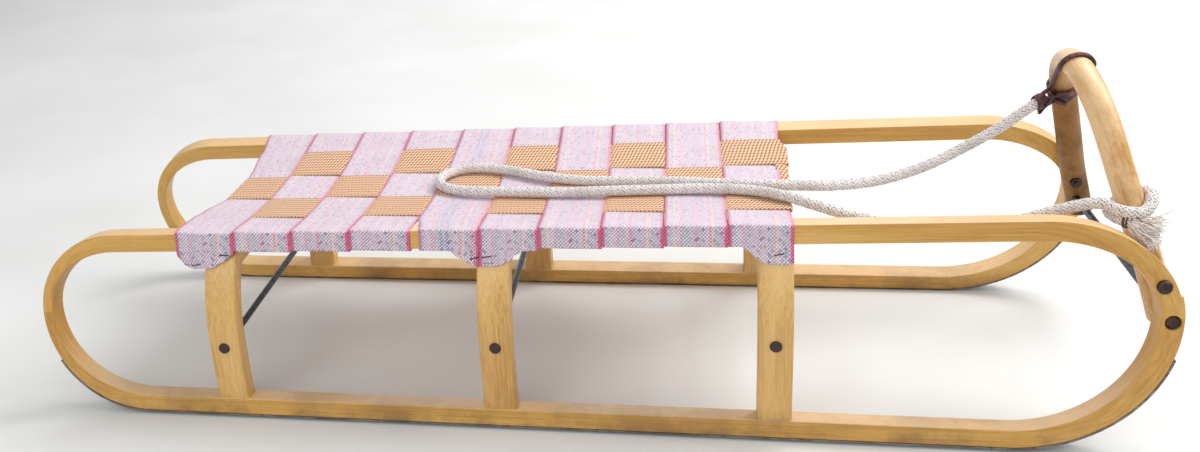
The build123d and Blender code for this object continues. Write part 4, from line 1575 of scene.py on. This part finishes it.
def clothe_solids() -> None:
    """Give the solids that stay in view their finishes."""
    finishes = {
        "bent": VarnishedWood("beech_loop", Grain.LOOP).build(),
        "arch": VarnishedWood(
            "beech_arch", Grain.ARCH, ink(190, 140, 72), ink(216, 170, 98), ink(228, 188, 122)
        ).build(),
        "bow": VarnishedWood("beech_bow", Grain.BOW, middle=ink(214, 164, 100), light=ink(232, 190, 130)).build(),
        "shoe": Steel("shoe_steel", ink(150, 148, 144), ink(112, 108, 104), ink(116, 72, 44), 0.35, 0.38).build(),
        # The rods' bright and dull colours are darkened as painted shade and painted dark reflections
        "rod": Steel("rod_steel", ink(92, 96, 102), ink(40, 42, 48), ink(62, 44, 36), 0.1, 0.26, 0.158).build(),
        "bolt": Steel("bolt_steel", ink(96, 84, 78), ink(60, 52, 50), ink(86, 54, 40), 0.5, 0.42).build(),
    }
    wearing = {
        "bent": ("loop_right", "loop_left"),
        "arch": ("arch_rear", "arch_middle", "arch_front"),
        "bow": ("horn_bow",),
        "shoe": ("shoe_right", "shoe_left"),
        "rod": ("tie_rod_rear", "tie_rod_middle", "tie_rod_front", "cross_rod_front"),
        "bolt": ("bow_bolts_right", "bow_bolts_left"),
    }
    for finish, nodes in wearing.items():
        for node in nodes:
            dress(bpy.data.objects[node], finishes[finish])
            log.info("dressed %s", node)


def main() -> None:
    """Build and dress the sled."""
    logging.basicConfig(level=logging.INFO, format="%(name)s: %(message)s")
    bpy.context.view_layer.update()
    Studio().build()
    cotton = CottonRope("cotton_rope").build()
    tuft = CottonRope("cotton_tuft", ink(255, 252, 246), ink(236, 220, 208), ink(226, 200, 186)).build()
    leather = Leather("lace_leather").build()
    thread = Leather("whipping_thread", ink(80, 34, 28), ink(120, 56, 46), ink(158, 92, 78)).build()
    PullRope(cotton, tuft, thread).build()
    Thong(leather).build()
    clothe_solids()
    plain = StripedWebbing("webbing_plain", PLAIN_STRIPES).build()
    bold = StripedWebbing("webbing_bold", BOLD_STRIPES).build()
    blue = StripedWebbing("webbing_blue", BLUE_STRIPES).build()
    warm = StripedWebbing("webbing_warm", WARM_STRIPES).build()
    wire = Steel("staple_wire", ink(70, 64, 62), ink(44, 40, 40), ink(70, 48, 38), 0.4, 0.45).build()
    seat = WovenSeat(
        striped=[plain, warm, bold, plain, blue, plain, warm, bold, warm, plain],
        tan=TwillWebbing("webbing_tan").build(),
        wire=wire,
    )
    seat.build()


if __name__ == "__main__":
    main()
